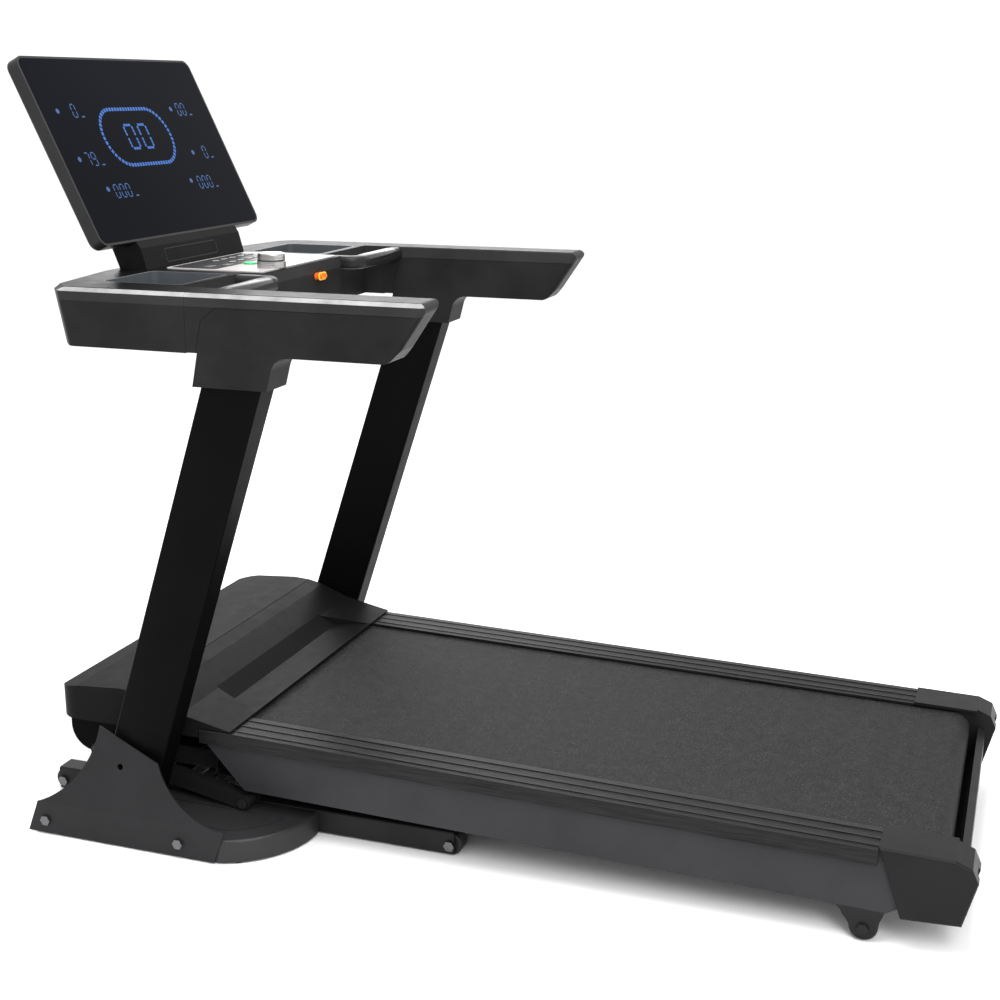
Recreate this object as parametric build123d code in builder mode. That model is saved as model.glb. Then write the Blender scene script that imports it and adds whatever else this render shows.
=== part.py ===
"""Folding treadmill: base frame, lift frame, folding deck, console and screen.

Millimetres.  +X is the user's right, +Y is forwards, +Z is up, and the floor is z = 0.
Lengths along the machine are measured from `hood_rear_y`, the rear end of the motor hood.
"""
import os
from math import cos, radians, sin

from build123d import *

# ---------------------------------------------------------------- driving dimensions
hood_rear_y = 410            # rear end of the motor hood, from the middle of the machine
deck_length = 1074           # hood rear end to end caps
deck_slope = 1.44            # degrees, the deck runs down to the rear
rail_top_z = 186             # top of the foot rails at the hood's rear end
belt_width = 520
belt_thickness = 2.5
roller_radius = 26
rail_width = 76
rail_overlap = 2             # each foot rail covers this much of the belt's edge
rail_thickness = 4
beam_width = 28
beam_height = 101
tube_wall = 2.5
front_roller = 38            # ahead of the hood's rear end
rear_roller = 72.5           # behind the deck's end
board_thickness = 20
end_cap_length = 144
hood_length = 345
hood_skirt_z = 171
hood_wall = 3
pan_bottom_z = 94
pan_wall = 2.5
pivot_ahead = 275            # fold pivot, ahead of the hood's rear end
pivot_z = 110
pivot_radius = 12
lift_pivot_behind = 12       # incline pivot, behind the hood's rear end
lift_pivot_z = 56
lift_bolt_radius = 6
lift_arm_radius = 13
strut_arm = 130              # fold pivot to either end of the strut
strut_angle = 60             # degrees between those two arms when the deck is down
strut_slack = 6.5            # free length of the slotted eye
base_height = 42
foot_plate_out = 30        # foot plates stand this far outside the handles
base_beam_width = 40
base_front = 378             # front wheel axle, ahead of the hood's rear end
base_rear = 377              # rear wheel axle, behind the hood's rear end
foot_clearance = 3           # rubber pads lift the frame by this much
sheet = 3
upright_gap = 15             # between the deck's rail and the upright's inner face
upright_depth = 57
upright_bow = 6              # how far the outer face bulges
upright_chord = 104
upright_lean = -0.33         # run per unit of rise
upright_below_top = 61       # the upright's tube ends this far below the handle's top
handle_skin = 4              # the handle's walls beside the upright
handle_top_z = 941
handle_depth = 92
skirt_drop = 53              # the skirt round the upright hangs this far below the handle
handle_bottom_z = handle_top_z - handle_depth
skirt_bottom_z = handle_bottom_z - skirt_drop
upright_top_z = handle_top_z - upright_below_top
handle_reach = 403           # behind the hood's rear end
edge_bevel = 7               # along the outer top edges of handles and console
shell_wall = 3
side_wall = 7                # console side walls, inside the bevel
console_front = 282
console_taper = 17           # the console's front leans back by this much at its bottom
console_bottom_z = 848
control_half_width = 150
gap_depth = 40               # open gap between grip bars and trays
screen_width = 540
screen_height = 336
screen_depth = 25
screen_tilt = 25.6
screen_bottom = (230, 989)   # front lower edge: ahead of the hood's rear end, height
neck_half_width = 170
pin_clearance = 0.05         # radial, running fits
free_gap = 0.4               # between faces of different bodies
hex_head = 9.5               # radius over corners

# ---------------------------------------------------------------- derived places
slope_run = (0, cos(radians(deck_slope)), sin(radians(deck_slope)))
deck_half = belt_width / 2 - rail_overlap + rail_width
rail_inner = deck_half - rail_width
beam_outer = deck_half - 10
upright_inner = deck_half + upright_gap
upright_outer = upright_inner + upright_depth
handle_inner = upright_inner - handle_skin
handle_outer = upright_outer + handle_skin
foot_half_width = handle_outer + foot_plate_out
base_beam_inner = deck_half - 90
beam_inner = beam_outer - beam_width
belt_top = -rail_thickness - 2
roller_drop = belt_top - belt_thickness - free_gap - roller_radius
deck_side = Plane(origin=(0, hood_rear_y, rail_top_z), x_dir=slope_run, z_dir=(1, 0, 0))
pivot_y = hood_rear_y + pivot_ahead
lift_pivot_y = hood_rear_y - lift_pivot_behind
front_wheel_y = hood_rear_y + base_front
rear_wheel_y = hood_rear_y - base_rear
console_rear_y = hood_rear_y
base_beam_outer = base_beam_inner + base_beam_width
roller_half = belt_width / 2 + 1
SIDES = {"left": -1, "right": 1}

os.makedirs("parts", exist_ok=True)


def save(piece, label):
    """Label a finished sub-part and write it as one STEP file."""
    piece.part.label = label
    export_step(piece.part, f"parts/{label}.step")


def ahead(points):
    """Side-profile points measured from the hood's rear end, as (y, z)."""
    return [(hood_rear_y + y, z) for y, z in points]


def side_plane(x):
    """Upright plane along the machine at the given x."""
    return Plane.YZ.offset(x)


def polar(radius, degrees):
    """A point of the side view around the fold pivot."""
    return (pivot_y + radius * cos(radians(degrees)), pivot_z + radius * sin(radians(degrees)))


# ---------------------------------------------------------------- base frame
ear_radius = 14
wheel_radius = 19.5
wheel_z = 20
wheel_width = 28
axle_radius = 4
beam_front_end = front_wheel_y
beam_rear_end = rear_wheel_y


def base_beam(side):
    """Floor tube with open fork ends for the transport wheels and the incline ear."""
    length = beam_front_end - beam_rear_end + 2 * 8
    middle_y = (beam_front_end + beam_rear_end) / 2
    middle_x = base_beam_inner + base_beam_width / 2
    with BuildPart() as beam:
        with BuildSketch(Plane.XZ.offset(-(beam_rear_end - 8))):
            with Locations((middle_x, foot_clearance + base_height / 2)):
                RectangleRounded(base_beam_width, base_height, 4)
                RectangleRounded(base_beam_width - 4, base_height - 4, 2, mode=Mode.SUBTRACT)
        extrude(amount=-length)
        for end in (beam_front_end, beam_rear_end):
            with Locations((middle_x, end, foot_clearance)):
                Box(wheel_width + 4, 2 * wheel_radius + 6, 8, mode=Mode.SUBTRACT)
            with BuildSketch(side_plane(base_beam_inner - 1)):
                with Locations((end, wheel_z)):
                    Circle(axle_radius)
            extrude(amount=base_beam_width + 2, mode=Mode.SUBTRACT)
        with BuildSketch(side_plane(base_beam_outer)):
            with Locations((lift_pivot_y, lift_pivot_z)):
                Circle(ear_radius)
            with Locations((lift_pivot_y, (lift_pivot_z + foot_clearance) / 2)):
                Rectangle(2 * ear_radius, lift_pivot_z - foot_clearance)
            with Locations((lift_pivot_y, lift_pivot_z)):
                Circle(lift_bolt_radius, mode=Mode.SUBTRACT)
        extrude(amount=8)
        if side == "left":
            mirror(about=Plane.YZ, mode=Mode.REPLACE)
    return beam


def wheel(x, y, z, radius, width, bore):
    """Plain transport wheel with rounded tyre edges and a hub groove on each face."""
    with BuildPart() as disc:
        with BuildSketch(side_plane(x - width / 2)):
            with Locations((y, z)):
                Circle(radius)
        extrude(amount=width)
        fillet(disc.edges().filter_by(GeomType.CIRCLE), 2)
        for face_x, direction in ((x - width / 2, 1), (x + width / 2, -1)):
            with BuildSketch(side_plane(face_x)):
                with Locations((y, z)):
                    Circle(radius * 0.7)
                    Circle(radius * 0.42, mode=Mode.SUBTRACT)
            extrude(amount=2 * direction, mode=Mode.SUBTRACT)
        with BuildSketch(side_plane(x - width / 2 - 1)):
            with Locations((y, z)):
                Circle(bore)
        extrude(amount=width + 2, mode=Mode.SUBTRACT)
    return disc


for side_name, sign in SIDES.items():
    save(base_beam(side_name), f"base_beam_{side_name}")
    wheel_x = sign * (base_beam_inner + base_beam_width / 2)
    for end_name, wheel_y in (("front", front_wheel_y), ("rear", rear_wheel_y)):
        transport_wheel = wheel(
            wheel_x, wheel_y, wheel_z, wheel_radius, wheel_width, axle_radius + pin_clearance
        )
        save(transport_wheel, f"base_wheel_{end_name}_{side_name}")

crossbar_front = pivot_ahead - 60
crossbar_rear = -350
with BuildPart() as base_crossbars:
    for bar_ahead in (crossbar_front, crossbar_rear):
        with BuildSketch(side_plane(-base_beam_inner)):
            with Locations((hood_rear_y + bar_ahead, foot_clearance + base_height / 2)):
                RectangleRounded(40, base_height - 6, 4)
                RectangleRounded(36, base_height - 10, 2, mode=Mode.SUBTRACT)
        extrude(amount=2 * base_beam_inner)
save(base_crossbars, "base_crossbars")

foot_outer = foot_half_width - sheet - 0.5
foot_front = 330
rim_width = 38
foot_top_z = base_height
ear_room = 8.3


def foot_outline():
    """Plan of the D-shaped floor foot on the right-hand side."""
    with BuildSketch() as plan:
        with BuildLine():
            rear_inner = (base_beam_outer, hood_rear_y - 135)
            rear_middle = (base_beam_outer + 88, hood_rear_y - 112)
            rear_outer = (foot_outer, hood_rear_y - 29)
            ThreePointArc(rear_inner, rear_middle, rear_outer)
            Polyline(
                rear_outer, (foot_outer, hood_rear_y + foot_front),
                (base_beam_outer, hood_rear_y + foot_front), rear_inner,
            )
        make_face()
    return plan.sketch


def foot(side):
    """Deep rounded rim with a flat top plate set in it behind a narrow groove."""
    outline = foot_outline()
    with BuildPart() as body:
        with BuildSketch(Plane.XY.offset(foot_clearance)):
            add(outline)
            offset(outline, amount=-rim_width, mode=Mode.SUBTRACT)
        extrude(amount=foot_top_z - foot_clearance)
        fillet(body.faces().sort_by(Axis.Z)[-1].outer_wire().edges(), 5)
        with BuildSketch(Plane.XY.offset(foot_top_z - 9)):
            add(outline)
            offset(outline, amount=-4, mode=Mode.INTERSECT)
        extrude(amount=5)
        with BuildSketch(Plane.XY.offset(foot_top_z - 4)):
            offset(outline, amount=-rim_width - 2.5)
        extrude(amount=3.5)
        with Locations((base_beam_outer, lift_pivot_y, base_height / 2)):
            Box(2 * ear_room, 2 * ear_radius + 0.6, base_height + 10, mode=Mode.SUBTRACT)
        if side == "left":
            mirror(about=Plane.YZ, mode=Mode.REPLACE)
    return body


plate_slope = 12             # degrees, the upper part of the foot plate leans in
fold_z = 60
plate_top = ((205, 203), (90, 155))
plate_bolts = ((305, 27), (46, 27))
plate_upper_bolt = (161, 140)


def foot_plate(side):
    """Folded sheet beside the foot: upright strip, then a panel leaning in to the upright."""
    lean = radians(plate_slope)
    rise = 1 / cos(lean)
    panel = Plane(
        origin=(foot_half_width, hood_rear_y, fold_z), x_dir=(0, 1, 0), z_dir=(cos(lean), 0, sin(lean))
    )
    with BuildPart() as plate:
        with BuildSketch(side_plane(foot_half_width - sheet)):
            with BuildLine():
                Polyline(*ahead([(-20, foot_clearance), (342, foot_clearance), (320, fold_z), (-41, fold_z)]),
                         close=True)
            make_face()
            with Locations(*ahead(plate_bolts)):
                Circle(5.5, mode=Mode.SUBTRACT)
        extrude(amount=sheet)
        with BuildSketch(panel):
            top_front = (plate_top[0][0], (plate_top[0][1] - fold_z) * rise)
            top_rear = (plate_top[1][0], (plate_top[1][1] - fold_z) * rise)
            with BuildLine():
                Line((-41, 0), (320, 0))
                ThreePointArc((320, 0), (250, 48), top_front)
                Line(top_front, top_rear)
                ThreePointArc(top_rear, (55, 42), (-41, 0))
            make_face()
            with Locations((plate_upper_bolt[0], (plate_upper_bolt[1] - fold_z) * rise)):
                Circle(5.5, mode=Mode.SUBTRACT)
        extrude(amount=-sheet)
        if side == "left":
            mirror(about=Plane.YZ, mode=Mode.REPLACE)
    return plate


def upright(side):
    """Leaning post with a flat inner face and a bowed outer face."""
    foot_rear_y = hood_rear_y - 120 + upright_lean * (foot_top_z - 793)

    def section(inset):
        rear = foot_rear_y + inset
        front = foot_rear_y + upright_chord - inset
        inner = upright_inner + inset
        outer = upright_outer - inset
        corner = outer - upright_bow
        with BuildSketch(Plane.XY.offset(foot_top_z)) as profile:
            with BuildLine():
                Polyline((corner, rear), (inner, rear), (inner, front), (corner, front))
                ThreePointArc((corner, front), (outer, (rear + front) / 2), (corner, rear))
            make_face()
            fillet(profile.vertices(), 5 - inset)
        return profile.sketch

    height = upright_top_z - foot_top_z
    outer_section = section(0)
    inner_section = section(tube_wall)
    lean_direction = (0, upright_lean, 1)
    slant = (1 + upright_lean ** 2) ** 0.5
    with BuildPart() as post:
        add(outer_section)
        extrude(amount=height * slant, dir=lean_direction)
        add(inner_section)
        extrude(amount=height * slant, dir=lean_direction, mode=Mode.SUBTRACT)
        if side == "left":
            mirror(about=Plane.YZ, mode=Mode.REPLACE)
    return post


for side_name in SIDES:
    save(foot(side_name), f"foot_{side_name}")
    save(foot_plate(side_name), f"foot_plate_{side_name}")
    save(upright(side_name), f"upright_{side_name}")

pad_outer = foot_outer - 26
pad_inner = base_beam_outer + 26
pad_places = [(pad_outer, -50), (pad_outer, 300), (pad_inner, -110), (pad_inner, 300)]
with BuildPart() as base_pads:
    for sign in SIDES.values():
        with Locations(*[(sign * x, hood_rear_y + y, 0) for x, y in pad_places]):
            Cylinder(13, foot_clearance, align=(Align.CENTER, Align.CENTER, Align.MIN))
        with Locations((sign * (base_beam_inner + base_beam_width / 2), rear_wheel_y + 55, 0)):
            Cylinder(13, foot_clearance, align=(Align.CENTER, Align.CENTER, Align.MIN))
save(base_pads, "base_pads")


def bolt(x_tip, x_head, y, z, radius, direction):
    """Bolt along X: shank from the tip to the head, then a hexagonal head outwards."""
    with BuildPart() as screw:
        with BuildSketch(side_plane(x_tip)):
            with Locations((y, z)):
                Circle(radius)
        extrude(amount=x_head - x_tip)
        with BuildSketch(side_plane(x_head)):
            with Locations((y, z)):
                RegularPolygon(hex_head, 6)
        extrude(amount=5 * direction)
    return screw.part


lift_arm_inner = base_beam_outer + 14
lift_arm_outer = lift_arm_inner + 24
bolt_list = []
for sign in SIDES.values():
    bolt_list.append(bolt(sign * base_beam_outer, sign * (lift_arm_outer + 1.5), lift_pivot_y, lift_pivot_z,
                          lift_bolt_radius, sign))
    for wheel_y in (front_wheel_y, rear_wheel_y):
        bolt_list.append(bolt(sign * base_beam_inner, sign * base_beam_outer, wheel_y, wheel_z,
                              axle_radius, sign))
    for y, z in ahead(plate_bolts):
        bolt_list.append(bolt(sign * (foot_half_width - sheet), sign * foot_half_width, y, z, 5.5, sign))
with BuildPart() as base_bolts:
    add(bolt_list)
save(base_bolts, "base_bolts")

# ---------------------------------------------------------------- lift frame and hinge yoke
lift_bar_ahead = 80
lift_bar_z = lift_pivot_z + (lift_bar_ahead + lift_pivot_behind) * (
    (pivot_z - lift_pivot_z) / (pivot_ahead + lift_pivot_behind)
)
with BuildPart() as lift_frame:
    for sign in SIDES.values():
        arm_start = lift_arm_inner if sign > 0 else -lift_arm_outer
        with BuildSketch(side_plane(arm_start)):
            with Locations((lift_pivot_y, lift_pivot_z), (pivot_y, pivot_z)):
                Circle(lift_arm_radius)
            make_hull()
            with Locations((lift_pivot_y, lift_pivot_z)):
                Circle(lift_bolt_radius + pin_clearance, mode=Mode.SUBTRACT)
            with Locations((pivot_y, pivot_z)):
                Circle(pivot_radius - 3 + pin_clearance, mode=Mode.SUBTRACT)
        extrude(amount=24)
    with BuildSketch(side_plane(-lift_arm_inner)):
        with Locations((hood_rear_y + lift_bar_ahead, lift_bar_z)):
            Circle(10)
            Circle(7.5, mode=Mode.SUBTRACT)
    extrude(amount=2 * lift_arm_inner)
save(lift_frame, "lift_frame")

yoke_inner = 12
yoke_plate = 6
lower_pin = polar(strut_arm, 180 + 25)
upper_pin = polar(strut_arm, 180 + 25 - strut_angle)
strut_pin_radius = 5
with BuildPart() as hinge_yoke:
    with BuildSketch(side_plane(-lift_arm_inner + 1)):
        with Locations((pivot_y, pivot_z)):
            Circle(pivot_radius)
    extrude(amount=2 * (lift_arm_inner - 1))
    with BuildSketch(side_plane(-lift_arm_outer - 1)):
        with Locations((pivot_y, pivot_z)):
            Circle(pivot_radius - 3)
    extrude(amount=2 * (lift_arm_outer + 1))
    for plate_x in (yoke_inner, -yoke_inner - yoke_plate):
        with BuildSketch(side_plane(plate_x)):
            with Locations((pivot_y, pivot_z), lower_pin):
                Circle(pivot_radius + 1.5)
            make_hull()
        extrude(amount=yoke_plate)
    with BuildSketch(side_plane(-yoke_inner)):
        with Locations(lower_pin):
            Circle(strut_pin_radius)
    extrude(amount=2 * yoke_inner)
save(hinge_yoke, "hinge_yoke")

# ---------------------------------------------------------------- strut
strut_plane = Plane(
    origin=(0, *lower_pin),
    x_dir=(1, 0, 0),
    z_dir=(0, upper_pin[0] - lower_pin[0], upper_pin[1] - lower_pin[1]),
)
strut_length = 2 * strut_arm * sin(radians(strut_angle / 2))
cylinder_radius = 10
rod_radius = 4
eye_radius = 8.5
with BuildPart(strut_plane) as strut_cylinder:
    with Locations((0, 0, 6)):
        Cylinder(cylinder_radius, strut_length - 6 - 14, align=(Align.CENTER, Align.CENTER, Align.MIN))
    Cylinder(eye_radius, 16, rotation=(0, 90, 0))
    Cylinder(strut_pin_radius + pin_clearance, 40, rotation=(0, 90, 0), mode=Mode.SUBTRACT)
    with Locations((0, 0, 16)):
        Cylinder(rod_radius + pin_clearance, strut_length, align=(Align.CENTER, Align.CENTER, Align.MIN),
                 mode=Mode.SUBTRACT)
save(strut_cylinder, "strut_cylinder")

with BuildPart(strut_plane) as strut_rod:
    with Locations((0, 0, 18)):
        Cylinder(rod_radius, strut_length - 18 - 5, align=(Align.CENTER, Align.CENTER, Align.MIN))
    eye_side = Plane(origin=strut_plane.origin, x_dir=strut_plane.z_dir, z_dir=(1, 0, 0))
    with BuildSketch(eye_side.offset(-6)):
        with Locations((strut_length, 0), (strut_length + strut_slack, 0)):
            Circle(eye_radius)
        make_hull()
    extrude(amount=12)
    with BuildSketch(eye_side.offset(-7)):
        with Locations((strut_length, 0), (strut_length + strut_slack, 0)):
            Circle(strut_pin_radius + free_gap)
        make_hull()
    extrude(amount=14, mode=Mode.SUBTRACT)
save(strut_rod, "strut_rod")

# ---------------------------------------------------------------- deck
rail_front = 60
beam_front = 52
beam_rear = -deck_length - rear_roller - 18
beam_top = -rail_thickness
beam_bottom = beam_top - beam_height
front_axle_place = (front_roller, roller_drop)
rear_axle_place = (-deck_length - rear_roller, roller_drop)
axle_bolt_radius = 6
ridge_places = (14, 38, 62)


def rail(side):
    """Foot rail: top plate with three ridges and an outer wall."""
    section = Plane(origin=deck_side.origin, x_dir=(1, 0, 0), z_dir=[-c for c in slope_run])
    with BuildPart() as strip:
        with BuildSketch(section.offset(-rail_front)):
            with BuildLine():
                Polyline(
                    (rail_inner, -rail_thickness), (rail_inner, 0), (deck_half, 0), (deck_half, -26),
                    (deck_half - 3, -26), (deck_half - 3, -rail_thickness), close=True,
                )
            make_face()
            with Locations(*[(rail_inner + place, 0.4) for place in ridge_places]):
                Rectangle(3.5, 1.6)
            with Locations((beam_outer + 4, -24.5)):
                Rectangle(8, 3)
        extrude(amount=rail_front + deck_length)
        if side == "left":
            mirror(about=Plane.YZ, mode=Mode.REPLACE)
    return strip


def side_beam(side):
    """Deck side tube, cut back at both lower corners, with roller axle holes in its inner wall."""
    with BuildPart() as beam:
        with BuildSketch(deck_side.offset(beam_inner)):
            with BuildLine():
                Polyline(
                    (beam_front, beam_top), (beam_front, beam_top - 26), (-20, beam_bottom),
                    (-deck_length - 20, beam_bottom), (beam_rear, beam_bottom + 46), (beam_rear, beam_top),
                    close=True,
                )
            make_face()
        extrude(amount=beam_width)
        with BuildSketch(deck_side.offset(beam_inner + tube_wall)):
            with BuildLine():
                wall = tube_wall
                Polyline(
                    (beam_front - wall, beam_top - wall), (beam_front - wall, beam_top - 25),
                    (-20 - wall, beam_bottom + wall), (-deck_length - 20, beam_bottom + wall),
                    (beam_rear + wall, beam_bottom + 46 + wall), (beam_rear + wall, beam_top - wall),
                    close=True,
                )
            make_face()
        extrude(amount=beam_width - 2 * tube_wall, mode=Mode.SUBTRACT)
        with BuildSketch(deck_side.offset(beam_inner - 1)):
            with Locations(front_axle_place, rear_axle_place):
                Circle(axle_bolt_radius)
        extrude(amount=tube_wall + 2, mode=Mode.SUBTRACT)
        if side == "left":
            mirror(about=Plane.YZ, mode=Mode.REPLACE)
    return beam


for side_name in SIDES:
    save(rail(side_name), f"rail_{side_name}")
    save(side_beam(side_name), f"side_beam_{side_name}")

board_top = belt_top - belt_thickness - 0.5
board_bottom = board_top - board_thickness
member_height = 14
member_places = (-70, -400, -730, -1050)
front_tube = (30, -82)       # along the deck, below the rail tops
with BuildPart() as cross_members:
    for place in member_places:
        with BuildSketch(deck_side.offset(-beam_inner)):
            with Locations((place, board_bottom - member_height / 2)):
                Rectangle(40, member_height)
                Rectangle(36, member_height - 4, mode=Mode.SUBTRACT)
        extrude(amount=2 * beam_inner)
    with BuildSketch(deck_side.offset(-beam_inner)):
        with Locations(front_tube):
            RectangleRounded(40, 36, 4)
            RectangleRounded(35, 31, 2, mode=Mode.SUBTRACT)
    extrude(amount=2 * beam_inner)
save(cross_members, "cross_members")

board_front = front_roller - roller_radius - 12
board_rear = -deck_length - rear_roller + roller_radius + 12
with BuildPart() as deck_board:
    with BuildSketch(deck_side.offset(-roller_half - 2)):
        with Locations(((board_front + board_rear) / 2, (board_top + board_bottom) / 2)):
            RectangleRounded(board_front - board_rear, board_thickness, 4)
    extrude(amount=2 * (roller_half + 2))
save(deck_board, "deck_board")

with BuildPart() as running_belt:
    for radius, mode in (
        (roller_radius + free_gap + belt_thickness, Mode.ADD),
        (roller_radius + free_gap, Mode.SUBTRACT),
    ):
        with BuildSketch(deck_side.offset(-belt_width / 2)):
            with Locations(front_axle_place, rear_axle_place):
                Circle(radius)
            make_hull()
        extrude(amount=belt_width, mode=mode)
save(running_belt, "running_belt")

with BuildPart() as roller_axles:
    for place in (front_axle_place, rear_axle_place):
        with BuildSketch(deck_side.offset(-beam_inner - tube_wall)):
            with Locations(place):
                Circle(axle_bolt_radius)
        extrude(amount=2 * (beam_inner + tube_wall))
save(roller_axles, "roller_axles")

pulley_inner = roller_half + 5
pulley_width = 16
pulley_radius = 25


def roller(place, pulley):
    """Belt roller on its axle; the driven one carries a flanged pulley at its right end."""
    with BuildPart() as drum:
        with BuildSketch(deck_side.offset(-roller_half)):
            with Locations(place):
                Circle(roller_radius)
                Circle(roller_radius - 4, mode=Mode.SUBTRACT)
        extrude(amount=2 * roller_half)
        for start in (-roller_half, roller_half - 14):
            with BuildSketch(deck_side.offset(start)):
                with Locations(place):
                    Circle(roller_radius - 3)
            extrude(amount=14)
        if pulley:
            for start, width, radius in (
                (roller_half, pulley_inner - roller_half, axle_bolt_radius + 6),
                (pulley_inner, pulley_width, pulley_radius - 3),
                (pulley_inner, 2, pulley_radius),
                (pulley_inner + pulley_width - 2, 2, pulley_radius),
            ):
                with BuildSketch(deck_side.offset(start)):
                    with Locations(place):
                        Circle(radius)
                extrude(amount=width)
        with BuildSketch(deck_side.offset(-roller_half - 1)):
            with Locations(place):
                Circle(axle_bolt_radius + pin_clearance)
        extrude(amount=2 * roller_half + pulley_width + 20, mode=Mode.SUBTRACT)
    return drum


save(roller(front_axle_place, True), "front_roller")
save(roller(rear_axle_place, False), "rear_roller")

cap_inner = roller_half + 3
cap_outer = deck_half + 2
cap_front = -deck_length - 0.3
cap_rear = -deck_length - end_cap_length
deck_end_z = rail_top_z - deck_length * slope_run[2]
cap_top = deck_end_z + 4
cap_outline = ahead([
    (cap_front, cap_top), (cap_rear + 34, cap_top - 3), (cap_rear + 10, cap_top - 13),
    (cap_rear, cap_top - 35), (cap_rear + 19, cap_top - 107), (cap_front - 37, cap_top - 111),
])
cap_hollow = ahead([
    (cap_front + 1, cap_top - 3.4), (cap_rear + 34, cap_top - 6.4), (cap_rear + 13, cap_top - 15),
    (cap_rear + 4, cap_top - 35), (cap_rear + 22, cap_top - 103), (cap_front - 26, cap_top - 107.5),
    (cap_front + 1, cap_top - 13),
])


def end_cap(side):
    """Hollow rear corner cover whose top reaches in over the belt's edge."""
    with BuildPart() as cap:
        with BuildSketch(side_plane(cap_inner)):
            with BuildLine():
                Polyline(*cap_outline, close=True)
            make_face()
        extrude(amount=cap_outer - cap_inner)
        fillet(cap.faces().sort_by(Axis.X)[-1].edges(), 5)
        with BuildSketch(side_plane(cap_inner + shell_wall)):
            with BuildLine():
                Polyline(*cap_hollow, close=True)
            make_face()
        extrude(amount=cap_outer - cap_inner - 2 * shell_wall, mode=Mode.SUBTRACT)
        with BuildSketch(side_plane(rail_inner - 2)):
            with BuildLine():
                Polyline(*ahead([(cap_front, cap_top), (cap_rear + 34, cap_top - 3),
                                 (cap_rear + 34, cap_top - 6.5), (cap_front, cap_top - 6)]), close=True)
            make_face()
        extrude(amount=cap_inner - rail_inner + 2)
        with BuildSketch(deck_side.offset(cap_inner - 1)):
            with Locations(rear_axle_place):
                Circle(axle_bolt_radius + 5)
        extrude(amount=shell_wall + 2, mode=Mode.SUBTRACT)
        with BuildSketch(Plane.XZ.offset(-(hood_rear_y + cap_rear + 30))):
            with Locations(((cap_inner + cap_outer) / 2, cap_top - 45)):
                RectangleRounded(26, 34, 6)
        extrude(amount=40, mode=Mode.SUBTRACT)
        if side == "left":
            mirror(about=Plane.YZ, mode=Mode.REPLACE)
    return cap


for side_name in SIDES:
    save(end_cap(side_name), f"end_cap_{side_name}")

cover_y = cap_rear + 30
with BuildPart() as rear_cover:
    with BuildSketch(side_plane(-cap_inner + 0.2)):
        with BuildLine():
            Polyline(
                *ahead([
                    (cover_y, cap_top - 35), (cover_y - 12, cap_top - 41), (cover_y - 12, cap_top - 85),
                    (cover_y + 16, cap_top - 101), (cover_y + 70, cap_top - 103), (cover_y + 70, cap_top - 100),
                    (cover_y + 17, cap_top - 98), (cover_y - 8.5, cap_top - 83), (cover_y - 8.5, cap_top - 43),
                    (cover_y, cap_top - 39),
                ]),
                close=True,
            )
        make_face()
    extrude(amount=2 * (cap_inner - 0.2))
save(rear_cover, "rear_cover")

bracket_ahead = 16 - deck_length
bracket_radius = 18
deck_wheel_radius = 22
deck_wheel_z = 22
bracket_y = hood_rear_y + bracket_ahead


def beam_underside(offset):
    """Point under the side beam, `offset` ahead of the deck wheel, as (y, z)."""
    point = deck_side.from_local_coords((bracket_ahead + offset, beam_bottom, 0))
    return (point.Y, point.Z)


bracket_front = beam_underside(38)
bracket_rear = beam_underside(-34)
bracket_x = (beam_inner + beam_outer) / 2
deck_wheel_width = 18
wheel_bolts = [
    bolt(sign * beam_inner, sign * beam_outer, bracket_y, deck_wheel_z, lift_bolt_radius, sign)
    for sign in SIDES.values()
]
with BuildPart() as wheel_brackets:
    add(wheel_bolts)
    for sign in SIDES.values():
        for plate_x in (beam_inner, beam_outer - sheet):
            start = sign * plate_x if sign > 0 else -plate_x - sheet
            with BuildSketch(side_plane(start)):
                with BuildLine():
                    Polyline(
                        bracket_front, bracket_rear, (bracket_y - bracket_radius, deck_wheel_z),
                        (bracket_y + bracket_radius, deck_wheel_z), close=True,
                    )
                make_face()
                with Locations((bracket_y, deck_wheel_z)):
                    Circle(bracket_radius)
            extrude(amount=sheet)
        bridge_start = min(sign * beam_inner, sign * beam_outer)
        with BuildSketch(side_plane(bridge_start)):
            with BuildLine():
                Polyline(
                    bracket_front, bracket_rear, (bracket_rear[0] + 1.5, bracket_rear[1] - sheet),
                    (bracket_front[0] - 1.5, bracket_front[1] - sheet), close=True,
                )
            make_face()
        extrude(amount=beam_width)
save(wheel_brackets, "wheel_brackets")

for side_name, sign in SIDES.items():
    deck_wheel = wheel(
        sign * bracket_x, bracket_y, deck_wheel_z, deck_wheel_radius, deck_wheel_width,
        lift_bolt_radius + pin_clearance,
    )
    save(deck_wheel, f"deck_wheel_{side_name}")

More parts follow.
